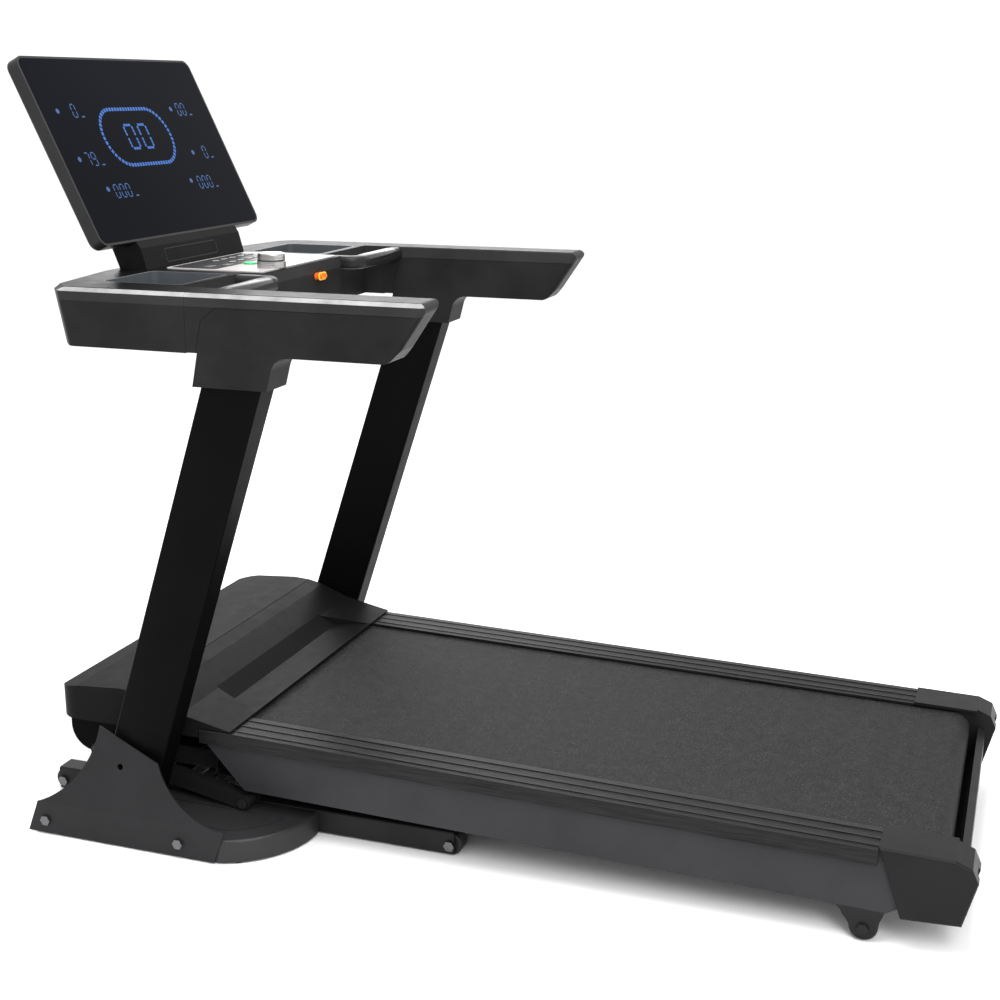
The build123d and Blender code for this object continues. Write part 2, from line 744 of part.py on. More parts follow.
# ---------------------------------------------------------------- motor bay
tray_z = 126
tray_half = deck_half - 43
hinge_inner = tray_half - 15
hinge_plate = 8
tray_rear = 85
tray_front = 335
motor_place = (hood_rear_y + 215, 185)
motor_radius = 40
motor_length = 180
motor_outer = pulley_inner - 26
motor_inner = motor_outer - motor_length
strut_leg = 26
with BuildPart() as motor_tray:
    with BuildSketch(Plane.XY.offset(tray_z)):
        with Locations((0, hood_rear_y + (tray_rear + tray_front) / 2)):
            Rectangle(2 * tray_half, tray_front - tray_rear)
        with Locations((0, pivot_y - 93)):
            RectangleRounded(48, 88, 8, mode=Mode.SUBTRACT)
    extrude(amount=sheet)
    for sign in SIDES.values():
        start = sign * hinge_inner if sign > 0 else -hinge_inner - hinge_plate
        with BuildSketch(side_plane(start)):
            with BuildLine():
                Polyline(*ahead([(52.8, 92), (180, 92), (186, 97), (pivot_ahead + 15, 97),
                                 (pivot_ahead + 27, pivot_z), (pivot_ahead + 27, tray_z), (52.8, tray_z)]),
                         close=True)
            make_face()
            with Locations((pivot_y, pivot_z)):
                Circle(pivot_radius + pin_clearance, mode=Mode.SUBTRACT)
        extrude(amount=hinge_plate)
        start = sign * strut_leg if sign > 0 else -strut_leg - 4
        with BuildSketch(side_plane(start)):
            with Locations((upper_pin[0], (tray_z + sheet + upper_pin[1]) / 2)):
                Rectangle(26, upper_pin[1] - tray_z - sheet)
            with Locations(upper_pin):
                Circle(13)
        extrude(amount=4)
    with BuildSketch(side_plane(-strut_leg)):
        with Locations(upper_pin):
            Circle(strut_pin_radius)
    extrude(amount=2 * strut_leg)
save(motor_tray, "motor_tray")

with BuildPart() as motor:
    with BuildSketch(side_plane(motor_inner)):
        with Locations(motor_place):
            Circle(motor_radius)
    extrude(amount=motor_outer - motor_inner)
    fillet(motor.edges().filter_by(GeomType.CIRCLE), 4)
    with Locations(((motor_inner + motor_outer) / 2, motor_place[0], tray_z + sheet)):
        Box(120, 50, motor_place[1] - tray_z - sheet, align=(Align.CENTER, Align.CENTER, Align.MIN))
    with BuildSketch(side_plane(motor_outer)):
        with Locations(motor_place):
            Circle(5)
    extrude(amount=pulley_inner + pulley_width - motor_outer)
save(motor, "motor")

small_pulley = 16
with BuildPart() as motor_pulley:
    for start, width, radius in (
        (pulley_inner, pulley_width, small_pulley - 3),
        (pulley_inner, 2, small_pulley),
        (pulley_inner + pulley_width - 2, 2, small_pulley),
    ):
        with BuildSketch(side_plane(start)):
            with Locations(motor_place):
                Circle(radius)
        extrude(amount=width)
    with BuildSketch(side_plane(pulley_inner - 1)):
        with Locations(motor_place):
            Circle(5 + pin_clearance)
    extrude(amount=pulley_width + 2, mode=Mode.SUBTRACT)
save(motor_pulley, "motor_pulley")

front_axle_global = deck_side.from_local_coords((front_axle_place[0], front_axle_place[1], 0))
driven_place = (front_axle_global.Y, front_axle_global.Z)
with BuildPart() as drive_belt:
    for grow, mode in ((2.5, Mode.ADD), (0, Mode.SUBTRACT)):
        with BuildSketch(side_plane(pulley_inner + 3)):
            with Locations(driven_place):
                Circle(pulley_radius - 3 + free_gap + grow)
            with Locations(motor_place):
                Circle(small_pulley - 3 + free_gap + grow)
            make_hull()
        extrude(amount=pulley_width - 6, mode=mode)
save(drive_belt, "drive_belt")

# ---------------------------------------------------------------- hood and belly pan
hood_line = [(16, 193), (94, 209), (150, 231), (180, 238), (215, 240), (300, 234), (338, 227)]
hood_start = 62
recess_rear = deck_half - 91     # half width of the belt recess at the hood's rear end
recess_front = deck_half - 149   # half width where the recess ends
recess_low = (65, 190)
recess_high = (145, 240)


def recess_tool(grow):
    """Wedge that is removed above the sloping panel, over the belt."""
    with BuildPart() as tool:
        with BuildSketch(side_plane(-recess_rear - grow)):
            with BuildLine():
                run = recess_high[0] - recess_low[0]
                rise = recess_high[1] - recess_low[1]
                slant = (run ** 2 + rise ** 2) ** 0.5
                shift = (grow * rise / slant, -grow * run / slant)
                low = (recess_low[0] + shift[0] - grow / 10 * run, recess_low[1] + shift[1] - grow / 10 * rise)
                high = (recess_high[0] + shift[0] + run / 10, recess_high[1] + shift[1] + rise / 10)
                Polyline(*ahead([(-10, low[1]), low, high, (high[0], 300), (-10, 300)]), close=True)
            make_face()
        extrude(amount=2 * (recess_rear + grow))
        with BuildSketch(Plane.XY.offset(140)):
            rear_half = recess_rear + grow + 3
            front_half = recess_front + grow - 3
            with BuildLine():
                Polyline(
                    (-rear_half, hood_rear_y - 8), (rear_half, hood_rear_y - 8),
                    (front_half, hood_rear_y + 154), (-front_half, hood_rear_y + 154), close=True,
                )
            make_face()
        extrude(amount=200, mode=Mode.INTERSECT)
    return tool


open_recess = recess_tool(0)
inner_recess = recess_tool(hood_wall)
with BuildPart() as hood_cavity:
    with BuildSketch(side_plane(-deck_half + hood_wall)):
        with BuildLine():
            inner_line = [(y, z - hood_wall) for y, z in hood_line[1:]]
            front_inner = hood_length - hood_wall
            Polyline(*ahead([(hood_start + hood_wall, 150), (hood_start + hood_wall, 199), *inner_line,
                             (front_inner, 212), (front_inner, 150)]), close=True)
        make_face()
    extrude(amount=2 * (deck_half - hood_wall))
    fillet(hood_cavity.edges().filter_by(Axis.Z).sort_by(Axis.Y)[-2:], 37)
    add(inner_recess.part, mode=Mode.SUBTRACT)

with BuildPart() as hood:
    with BuildSketch(side_plane(-deck_half)):
        with BuildLine():
            Polyline(*ahead([(0, 187.6), (0, 190), *hood_line, (hood_length, 214), (hood_length, hood_skirt_z),
                             (hood_start, hood_skirt_z), (hood_start, 189.3)]), close=True)
        make_face()
    extrude(amount=2 * deck_half)
    fillet(hood.edges().filter_by(Axis.Z).sort_by(Axis.Y)[-2:], 40)
    add(open_recess.part, mode=Mode.SUBTRACT)
    add(hood_cavity.part, mode=Mode.SUBTRACT)
    with Locations((0, hood_rear_y + 40, 179)):
        Box(2 * (pulley_inner + pulley_width + 4), 100, 17, mode=Mode.SUBTRACT)
    with Locations((0, hood_rear_y + 180, 238.5)):
        Box(2 * deck_half, 1.6, 2.4, mode=Mode.SUBTRACT)
save(hood, "hood")

inlet_x = -200
inlet_z = 146
inlet_width = 48
inlet_height = 27
pan_half = tray_half + pan_wall
pan_rear = 190


def pan_profile(inset, start, top):
    """Side profile of the belly pan, as a sketch of the YZ plane."""
    front = hood_length - inset
    bottom = pan_bottom_z + inset
    bend_start = 299
    bend_top = 140
    reach = (front - bend_start) * cos(radians(45))
    drop = (bend_top - bottom) * cos(radians(45))
    with BuildSketch() as profile:
        with BuildLine():
            corners = ahead([(front, bend_top), (front, top), (start, top), (start, bottom), (bend_start, bottom)])
            Polyline(*corners)
            middle = ahead([(bend_start + reach, bend_top - drop)])[0]
            ThreePointArc(corners[-1], middle, corners[0])
        make_face()
    return profile.sketch


pan_outer = pan_profile(0, pan_rear, hood_skirt_z - 0.2)
pan_inner = pan_profile(pan_wall, pan_rear - 10, hood_skirt_z + 5)
with BuildPart() as belly_pan:
    with BuildSketch(side_plane(-pan_half)):
        add(pan_outer)
    extrude(amount=2 * pan_half)
    with BuildSketch(side_plane(-tray_half)):
        add(pan_inner)
    extrude(amount=2 * tray_half, mode=Mode.SUBTRACT)
    with Locations((0, hood_rear_y + pan_rear - 4, pan_bottom_z)):
        Box(68, pivot_ahead + 31 - pan_rear, 10, align=(Align.CENTER, Align.MIN, Align.CENTER),
            mode=Mode.SUBTRACT)
    with Locations((inlet_x, hood_rear_y + hood_length, inlet_z)):
        Box(inlet_width, 20, inlet_height, mode=Mode.SUBTRACT)
    with BuildSketch(side_plane(-pan_half - 1)):
        with Locations((pivot_y, pivot_z)):
            Circle(pivot_radius + 2 * free_gap)
    extrude(amount=2 * pan_half + 2, mode=Mode.SUBTRACT)
save(belly_pan, "belly_pan")

with BuildPart() as power_inlet:
    with BuildSketch(Plane.XZ.offset(-(hood_rear_y + hood_length))):
        with Locations((inlet_x, inlet_z)):
            RectangleRounded(inlet_width + 10, inlet_height + 8, 3)
    extrude(amount=-2)
    with BuildSketch(Plane.XZ.offset(-(hood_rear_y + hood_length))):
        with Locations((inlet_x, inlet_z)):
            Rectangle(inlet_width - 0.4, inlet_height - 0.4)
    extrude(amount=22)
    with BuildSketch(Plane.XZ.offset(-(hood_rear_y + hood_length + 2))):
        with Locations((inlet_x, inlet_z)):
            RectangleRounded(26, 18, 3)
    extrude(amount=18, mode=Mode.SUBTRACT)
    with Locations(*[(inlet_x + dx, hood_rear_y + hood_length - 9, inlet_z + dz)
                     for dx, dz in ((-7, -2), (0, 3), (7, -2))]):
        Box(2, 15, 4)
save(power_inlet, "power_inlet")

# ---------------------------------------------------------------- handles and console
seam_gap = 0.5                       # open seam between handle and console
handle_low = handle_top_z - 71       # underside of the grip, above the skirt's corner
end_run = 48                         # the rear end slants forwards by this much down to its corner
skirt_front = -8
skirt_rear = -136
skirt_bend = -150
panel_drop = 21                      # the inset panel starts this far below the top
handle_outline = [
    (-seam_gap, handle_top_z), (-handle_reach, handle_top_z), (end_run - handle_reach, handle_low),
    (end_run - handle_reach + 20, handle_bottom_z), (skirt_bend, handle_bottom_z),
    (skirt_rear, skirt_bottom_z), (skirt_front, skirt_bottom_z), (skirt_front - 11, handle_bottom_z),
    (-seam_gap, handle_bottom_z),
]
handle_hollow = [
    (-3, handle_top_z - 8), (-handle_reach + 22, handle_top_z - 8), (end_run - handle_reach + 15, handle_low + 4),
    (end_run - handle_reach + 30, handle_bottom_z + 4), (skirt_bend + 6, handle_bottom_z + 4),
    (skirt_rear + 7, skirt_bottom_z - 2), (skirt_front - 4, skirt_bottom_z - 2),
    (skirt_front - 10, handle_bottom_z + 4), (-9, handle_bottom_z + 4),
]
panel_line = [
    (skirt_front - 9, handle_bottom_z + 2), (-28, handle_top_z - 42), (-54, handle_top_z - panel_drop),
    (-handle_reach + 10, handle_top_z - panel_drop),
]


def handle(side):
    """Hollow side handle that reaches back from the console and wraps the upright's top."""
    run = handle_top_z - handle_low
    reach_y = hood_rear_y - handle_reach
    with BuildPart() as grip:
        with BuildSketch(side_plane(handle_inner)) as side_view:
            with BuildLine():
                Polyline(*ahead(handle_outline), close=True)
            make_face()
            fillet(side_view.vertices().group_by(Axis.Y)[1].sort_by(Axis.X)[0], 18)
            fillet(side_view.vertices().sort_by_distance((hood_rear_y + skirt_bend, handle_bottom_z))[0], 28)
            fillet(side_view.vertices().group_by(Axis.Y)[-1].sort_by(Axis.X)[0], 10)
        extrude(amount=handle_outer - handle_inner)
        with BuildSketch(Plane.XZ.offset(-hood_rear_y - 1)):
            with BuildLine():
                Polyline(
                    (handle_inner, 0), (handle_inner, handle_top_z - 2), (handle_inner + 2, handle_top_z),
                    (handle_outer - edge_bevel, handle_top_z), (handle_outer, handle_top_z - edge_bevel),
                    (handle_outer, 0), close=True,
                )
            make_face()
        extrude(amount=handle_reach + 2, mode=Mode.INTERSECT)
        with BuildSketch(Plane.XY.offset(handle_top_z)):
            with Locations(((handle_inner + handle_outer) / 2, reach_y + handle_reach / 2 + 100)):
                RectangleRounded(handle_outer - handle_inner, handle_reach + 200, 14)
        extrude(amount=(run ** 2 + end_run ** 2) ** 0.5 * 2.2, dir=(0, end_run, -run), mode=Mode.INTERSECT)
        with BuildSketch(side_plane(upright_inner - 0.5)):
            with BuildLine():
                Polyline(*ahead(handle_hollow), close=True)
            make_face()
        extrude(amount=upright_depth + 1, mode=Mode.SUBTRACT)
        for face_x in (handle_outer - 0.8, handle_inner):
            with BuildSketch(side_plane(face_x)):
                with BuildLine() as panel_edge:
                    FilletPolyline(*ahead(panel_line), radius=12)
                trace(panel_edge.line, line_width=1)
            extrude(amount=0.8, mode=Mode.SUBTRACT)
        with Locations(((handle_inner + handle_outer) / 2, reach_y + 5, handle_top_z - panel_drop)):
            Box(handle_outer - handle_inner, 14, 1, mode=Mode.SUBTRACT)
        if side == "left":
            mirror(about=Plane.YZ, mode=Mode.REPLACE)
    return grip


bar_width = 28
bar_height = 24
bar_ahead = -26
bar_z = handle_top_z - 13


def grip_bar(side):
    """Cross grip from the handle to the console, turning forwards beside the controls."""
    bend = 20
    inner_x = control_half_width + bar_width / 2
    y = console_rear_y + bar_ahead
    with BuildPart() as bar:
        with BuildLine() as route:
            Line((handle_inner, y, bar_z), (inner_x + bend, y, bar_z))
            TangentArc((inner_x + bend, y, bar_z), (inner_x, y + bend, bar_z), tangent=(-1, 0, 0))
            Line((inner_x, y + bend, bar_z), (inner_x, console_rear_y + gap_depth, bar_z))
        with BuildSketch(Plane(origin=(handle_inner, y, bar_z), x_dir=(0, 1, 0), z_dir=(-1, 0, 0))):
            RectangleRounded(bar_width, bar_height, 9)
        sweep(path=route.line)
        if side == "left":
            mirror(about=Plane.YZ, mode=Mode.REPLACE)
    return bar


for side_name in SIDES:
    save(handle(side_name), f"handle_{side_name}")
    save(grip_bar(side_name), f"grip_bar_{side_name}")

tray_inner = control_half_width + 22
tray_outer = handle_inner - 15
tray_near = 52
tray_far = 200
tray_depth = 58
tray_wall = 2.5
knob_place = (-70, 27)
start_place = (-40, 84)
key_places = {"key_plus": (-78, 108), "key_minus": (-112, 124)}
key_size = (26, 14)
safety_place = (55, handle_top_z - 26)
safety_size = (30, 12)
plate_thickness = 2


def console_plan(z, inset, rear_inset, front_shift):
    """Plan outline of the console at height z, as a sketch."""
    half = handle_outer - inset
    front = console_front - inset - front_shift
    right_side = [
        (control_half_width - rear_inset, rear_inset), (control_half_width - rear_inset, gap_depth + rear_inset),
        (handle_inner + rear_inset, gap_depth + rear_inset), (handle_inner + rear_inset, rear_inset),
        (half, rear_inset), (half, front - 56), (half - 30, front - 30), (200, front),
    ]
    left_side = [(-x, y) for x, y in reversed(right_side)]
    with BuildSketch(Plane.XY.offset(z)) as plan:
        with BuildLine():
            Polyline(*[(x, console_rear_y + y) for x, y in right_side + left_side], close=True)
        make_face()
        front_corners = plan.vertices().filter_by(lambda v: v.Y > console_rear_y + 100)
        fillet(front_corners, 20 - inset)
    return plan.sketch


def key_hole(place, size, grow):
    """Rounded rectangle of a key, drawn on the current sketch."""
    with Locations((place[0], console_rear_y + place[1])):
        RectangleRounded(size[0] + grow, size[1] + grow, 3)


bevel_z = handle_top_z - edge_bevel
lid_z = handle_top_z - shell_wall
lid_shift = console_taper * (bevel_z - lid_z) / (bevel_z - console_bottom_z)
shell_bottom = console_plan(console_bottom_z, 0, 0, console_taper)
shell_top = console_plan(bevel_z, 0, 0, 0)
lid_top = console_plan(handle_top_z, edge_bevel, 0, 0)
hollow_bottom = console_plan(console_bottom_z, side_wall, shell_wall, console_taper)
hollow_top = console_plan(lid_z, side_wall, shell_wall, lid_shift)
console_floor = console_plan(console_bottom_z, side_wall + 0.3, shell_wall + 0.3, console_taper)
with BuildPart() as console_lid:
    add([shell_top, lid_top])
    loft(ruled=True)

with BuildPart() as console_cavity:
    add([hollow_bottom, hollow_top])
    loft(ruled=True)

with BuildPart() as console_body:
    add([shell_bottom, shell_top])
    loft(ruled=True)
    add(console_lid.part)
    add(console_cavity.part, mode=Mode.SUBTRACT)
    with BuildSketch(Plane.XY.offset(handle_top_z - 10)):
        for sign in SIDES.values():
            with Locations((sign * (tray_inner + tray_outer) / 2, console_rear_y + (tray_near + tray_far) / 2)):
                RectangleRounded(tray_outer - tray_inner, tray_far - tray_near, 14)
        with Locations((knob_place[0], console_rear_y + knob_place[1])):
            Circle(4 + pin_clearance)
        with Locations((start_place[0], console_rear_y + start_place[1])):
            Circle(12 + free_gap)
        for place in key_places.values():
            key_hole(place, key_size, 2 * free_gap)
    extrude(amount=20, mode=Mode.SUBTRACT)
    with BuildSketch(Plane.XZ.offset(-(console_rear_y + 10))):
        with Locations(safety_place):
            SlotOverall(safety_size[0] + 2 * free_gap, safety_size[1] + 2 * free_gap)
    extrude(amount=20, mode=Mode.SUBTRACT)
save(console_body, "console_body")

with BuildPart() as console_base:
    with BuildSketch(Plane.XY.offset(console_bottom_z)):
        add(console_floor)
    extrude(amount=shell_wall)
save(console_base, "console_base")


def tray(sign):
    """Deep storage tray with a round cup recess in its floor."""
    middle = (sign * (tray_inner + tray_outer) / 2, console_rear_y + (tray_near + tray_far) / 2)
    size = (tray_outer - tray_inner - 0.4, tray_far - tray_near - 0.4)
    with BuildPart() as well:
        with BuildSketch(Plane.XY.offset(handle_top_z - tray_depth)):
            with Locations(middle):
                RectangleRounded(*size, 13.8)
        extrude(amount=tray_depth)
        with BuildSketch(Plane.XY.offset(handle_top_z - tray_depth + tray_wall)):
            with Locations(middle):
                RectangleRounded(size[0] - 2 * tray_wall, size[1] - 2 * tray_wall, 11.3)
        extrude(amount=tray_depth, mode=Mode.SUBTRACT)
        fillet(well.faces().sort_by(Axis.Z)[-1].edges(), 0.8)
        with BuildSketch(Plane.XY.offset(handle_top_z - tray_depth + tray_wall)):
            with Locations(middle):
                Circle(44)
                Circle(41, mode=Mode.SUBTRACT)
        extrude(amount=14)
    return well


for side_name, sign in SIDES.items():
    save(tray(sign), f"tray_{side_name}")

with BuildPart() as control_plate:
    with BuildSketch(Plane.XY.offset(handle_top_z)):
        with Locations((0, console_rear_y + 100)):
            RectangleRounded(284, 188, 8)
        with Locations((knob_place[0], console_rear_y + knob_place[1])):
            Circle(4 + pin_clearance, mode=Mode.SUBTRACT)
        with Locations((start_place[0], console_rear_y + start_place[1])):
            Circle(12 + free_gap, mode=Mode.SUBTRACT)
        with BuildSketch(mode=Mode.PRIVATE) as key_windows:
            for place in key_places.values():
                key_hole(place, key_size, 2 * free_gap)
        add(key_windows.sketch, mode=Mode.SUBTRACT)
    extrude(amount=plate_thickness)
save(control_plate, "control_plate")

plate_top_z = handle_top_z + plate_thickness
knob_radius = 25
with BuildPart() as knob:
    with BuildSketch(Plane.XZ.offset(-(console_rear_y + knob_place[1]))):
        with BuildLine():
            x = knob_place[0]
            base = plate_top_z + free_gap
            Polyline(
                (x, base - 14), (x + 4, base - 14), (x + 4, base), (x + knob_radius, base),
                (x + knob_radius, base + 10), (x + knob_radius - 2, base + 11),
                (x + knob_radius - 2, base + 12.5), (x + knob_radius - 1.5, base + 13),
                (x + knob_radius - 1.5, base + 22), (x + knob_radius - 4, base + 24), (x, base + 24), close=True,
            )
        make_face()
    revolve(axis=Axis((knob_place[0], console_rear_y + knob_place[1], 0), (0, 0, 1)))
save(knob, "knob")

key_foot_z = handle_top_z - shell_wall - 0.3
with BuildPart() as start_key:
    with BuildSketch(Plane.XY.offset(key_foot_z)):
        with Locations((start_place[0], console_rear_y + start_place[1])):
            Circle(12)
    extrude(amount=plate_top_z + 3 - key_foot_z)
    fillet(start_key.faces().sort_by(Axis.Z)[-1].edges(), 1)
    with BuildSketch(Plane.XY.offset(key_foot_z - 2)):
        with Locations((start_place[0], console_rear_y + start_place[1])):
            Circle(15)
    extrude(amount=2)
save(start_key, "start_key")

for key_name, place in key_places.items():
    with BuildPart() as key:
        with BuildSketch(Plane.XY.offset(key_foot_z)):
            key_hole(place, key_size, 0)
        extrude(amount=plate_top_z + 2.5 - key_foot_z)
        fillet(key.faces().sort_by(Axis.Z)[-1].edges(), 1)
        with BuildSketch(Plane.XY.offset(key_foot_z - 2)):
            key_hole(place, key_size, 5)
        extrude(amount=2)
    save(key, key_name)

with BuildPart() as safety_key:
    with BuildSketch(Plane.XZ.offset(-(console_rear_y + 8))):
        with Locations(safety_place):
            SlotOverall(*safety_size)
    extrude(amount=16)
    with BuildSketch(Plane.XZ.offset(-(console_rear_y - 8))):
        with Locations(safety_place):
            SlotOverall(safety_size[0] - 8, safety_size[1] - 5)
    extrude(amount=4)
save(safety_key, "safety_key")

# ---------------------------------------------------------------- screen
tilt = radians(screen_tilt)
screen_plane = Plane(
    origin=(0, hood_rear_y + screen_bottom[0], screen_bottom[1]),
    x_dir=(1, 0, 0),
    z_dir=(0, -cos(tilt), sin(tilt)),
)
glass_thickness = 2
glass_border = 4
screen_corner = 18
with BuildPart() as screen_housing:
    with BuildSketch(screen_plane.offset(-screen_depth)):
        with Locations((0, screen_height / 2)):
            RectangleRounded(screen_width, screen_height, screen_corner)
    extrude(amount=screen_depth)
    fillet(screen_housing.faces().sort_by(Axis((0, 0, 0), screen_plane.z_dir))[0].edges(), 6)
    with BuildSketch(screen_plane.offset(-glass_thickness)):
        with Locations((0, screen_height / 2)):
            RectangleRounded(screen_width - 2 * glass_border, screen_height - 2 * glass_border, screen_corner - 4)
    extrude(amount=glass_thickness + 1, mode=Mode.SUBTRACT)
save(screen_housing, "screen_housing")

with BuildPart() as screen_glass:
    with BuildSketch(screen_plane.offset(-glass_thickness)):
        with Locations((0, screen_height / 2)):
            RectangleRounded(
                screen_width - 2 * glass_border - 0.4, screen_height - 2 * glass_border - 0.4, screen_corner - 4.2
            )
    extrude(amount=glass_thickness)
save(screen_glass, "screen_glass")

neck_rear_top = screen_plane.from_local_coords((0, 0, -screen_depth))
neck_back = screen_plane.from_local_coords((0, 40, -screen_depth - 0.2))
with BuildPart() as neck:
    with BuildSketch(side_plane(-neck_half_width)):
        with BuildLine():
            foot_y = hood_rear_y + screen_bottom[0]
            Polyline(
                (foot_y - 18, handle_top_z), (foot_y - 8, handle_top_z + 36),
                (foot_y, screen_bottom[1] - 0.3), (neck_rear_top.Y, neck_rear_top.Z - 0.3),
                (neck_back.Y, neck_back.Z), (neck_back.Y + 14, neck_back.Z - 7),
                (foot_y + 48, handle_top_z + 33), (foot_y + 35, handle_top_z), close=True,
            )
        make_face()
    extrude(amount=2 * neck_half_width)
    fillet(neck.edges().filter_by(Axis.X).sort_by(Axis.Y)[1:2], 3)
save(neck, "neck")
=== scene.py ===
"""Looks for the folding treadmill: materials, small pieces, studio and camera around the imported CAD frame."""
from math import cos, pi, radians, sin

import bmesh
import bpy
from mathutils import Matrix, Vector


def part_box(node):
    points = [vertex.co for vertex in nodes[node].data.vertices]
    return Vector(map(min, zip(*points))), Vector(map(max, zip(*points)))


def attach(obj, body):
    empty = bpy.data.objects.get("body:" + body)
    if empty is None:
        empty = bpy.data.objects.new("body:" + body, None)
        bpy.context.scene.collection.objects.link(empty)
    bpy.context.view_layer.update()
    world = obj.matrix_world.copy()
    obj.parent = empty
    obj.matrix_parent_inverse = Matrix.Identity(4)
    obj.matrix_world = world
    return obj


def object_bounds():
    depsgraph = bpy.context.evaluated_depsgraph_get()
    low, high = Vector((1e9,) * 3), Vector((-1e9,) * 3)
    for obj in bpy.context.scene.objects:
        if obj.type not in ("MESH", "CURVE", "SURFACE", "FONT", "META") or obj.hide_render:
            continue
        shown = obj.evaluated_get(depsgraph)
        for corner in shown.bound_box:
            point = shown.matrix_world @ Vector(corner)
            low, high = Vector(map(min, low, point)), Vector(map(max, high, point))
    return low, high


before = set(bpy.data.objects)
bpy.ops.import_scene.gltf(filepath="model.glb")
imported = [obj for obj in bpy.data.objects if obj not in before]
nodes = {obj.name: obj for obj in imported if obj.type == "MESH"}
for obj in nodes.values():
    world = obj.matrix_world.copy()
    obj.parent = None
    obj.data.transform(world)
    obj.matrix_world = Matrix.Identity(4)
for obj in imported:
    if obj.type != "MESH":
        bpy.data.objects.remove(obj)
cad_low, cad_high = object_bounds()


# ---------------------------------------------------------------- material helpers
def new_material(name, color, rough, metal=0.0, coat=0.0, specular=0.5):
    """Principled material; constants sit on the shader's own sockets."""
    mat = bpy.data.materials.new(name)
    mat.use_nodes = True
    shader = mat.node_tree.nodes["Principled BSDF"]
    shader.inputs["Base Color"].default_value = (*color, 1)
    shader.inputs["Roughness"].default_value = rough
    shader.inputs["Metallic"].default_value = metal
    shader.inputs["Coat Weight"].default_value = coat
    shader.inputs["Specular IOR Level"].default_value = specular
    return mat, shader


def coords(tree, scale=(1, 1, 1), rotation=(0, 0, 0)):
    """Object coordinates through a mapping, so patterns keep a real size in metres."""
    source = tree.nodes.new("ShaderNodeTexCoord")
    mapping = tree.nodes.new("ShaderNodeMapping")
    mapping.inputs["Scale"].default_value = scale
    mapping.inputs["Rotation"].default_value = rotation
    tree.links.new(source.outputs["Object"], mapping.inputs["Vector"])
    return mapping.outputs["Vector"]


def noise(tree, vector, scale, detail=4.0, roughness=0.55):
    tex = tree.nodes.new("ShaderNodeTexNoise")
    tex.inputs["Scale"].default_value = scale
    tex.inputs["Detail"].default_value = detail
    tex.inputs["Roughness"].default_value = roughness
    tree.links.new(vector, tex.inputs["Vector"])
    return tex.outputs["Fac"]


def ramp(tree, value, stops):
    node = tree.nodes.new("ShaderNodeValToRGB")
    element = node.color_ramp.elements
    while len(element) < len(stops):
        element.new(0.5)
    for item, (position, color) in zip(element, stops):
        item.position = position
        item.color = (*color, 1) if len(color) == 3 else color
    tree.links.new(value, node.inputs["Fac"])
    return node.outputs["Color"]


def spread(tree, value, low, high):
    node = tree.nodes.new("ShaderNodeMapRange")
    node.inputs["To Min"].default_value = low
    node.inputs["To Max"].default_value = high
    tree.links.new(value, node.inputs["Value"])
    return node.outputs["Result"]


def grey(value):
    return (value, value, value)


def math_node(tree, operation, first, second=None):
    """Math node on a socket; `second` is another socket or a plain number."""
    node = tree.nodes.new("ShaderNodeMath")
    node.operation = operation
    tree.links.new(first, node.inputs[0])
    if isinstance(second, (int, float)):
        node.inputs[1].default_value = second
    elif second:
        tree.links.new(second, node.inputs[1])
    return node.outputs[0]


def blended(tree, factor, low_color, high_color):
    """Mix of two colours by a factor socket."""
    node = tree.nodes.new("ShaderNodeMix")
    node.data_type = "RGBA"
    tree.links.new(factor, node.inputs["Factor"])
    tree.links.new(low_color, node.inputs["A"])
    tree.links.new(high_color, node.inputs["B"])
    return node.outputs["Result"]


def bump(tree, height, strength, distance, normal=None):
    node = tree.nodes.new("ShaderNodeBump")
    node.inputs["Strength"].default_value = strength
    node.inputs["Distance"].default_value = distance
    tree.links.new(height, node.inputs["Height"])
    if normal:
        tree.links.new(normal, node.inputs["Normal"])
    return node.outputs["Normal"]


grain_depth = 0.00012
sheen_spread = 0.08


def grained(name, color, rough, grain=900, lighter=1.35, specular=0.5):
    """Moulded or powder-coated skin: fine grain, faint cloudy colour and worn sheen."""
    mat, shader = new_material(name, color, rough, specular=specular)
    tree = mat.node_tree
    vector = coords(tree)
    cloudy = noise(tree, vector, 9, 3)
    brighter = tuple(c * lighter for c in color)
    tree.links.new(ramp(tree, cloudy, [(0.3, color), (0.75, brighter)]), shader.inputs["Base Color"])
    fine = noise(tree, vector, grain, 2)
    wear_and_highlight = noise(tree, vector, 40, 4)
    tree.links.new(spread(tree, wear_and_highlight, rough - sheen_spread, rough + sheen_spread), shader.inputs["Roughness"])
    tree.links.new(bump(tree, fine, 0.35, grain_depth), shader.inputs["Normal"])
    return mat


def brushed(name, color, rough, stretch, metal=1.0, grain=700):
    """Metal with streaks along one axis; `stretch` is the mapping scale."""
    mat, shader = new_material(name, color, rough, metal)
    tree = mat.node_tree
    vector = coords(tree, scale=stretch)
    streak = noise(tree, vector, grain, 3)
    darker = tuple(c * 0.75 for c in color)
    tree.links.new(ramp(tree, streak, [(0.35, darker), (0.65, color)]), shader.inputs["Base Color"])
    tree.links.new(spread(tree, streak, rough * 0.8, rough * 1.25), shader.inputs["Roughness"])
    tree.links.new(bump(tree, streak, 0.2, 0.0001), shader.inputs["Normal"])
    return mat


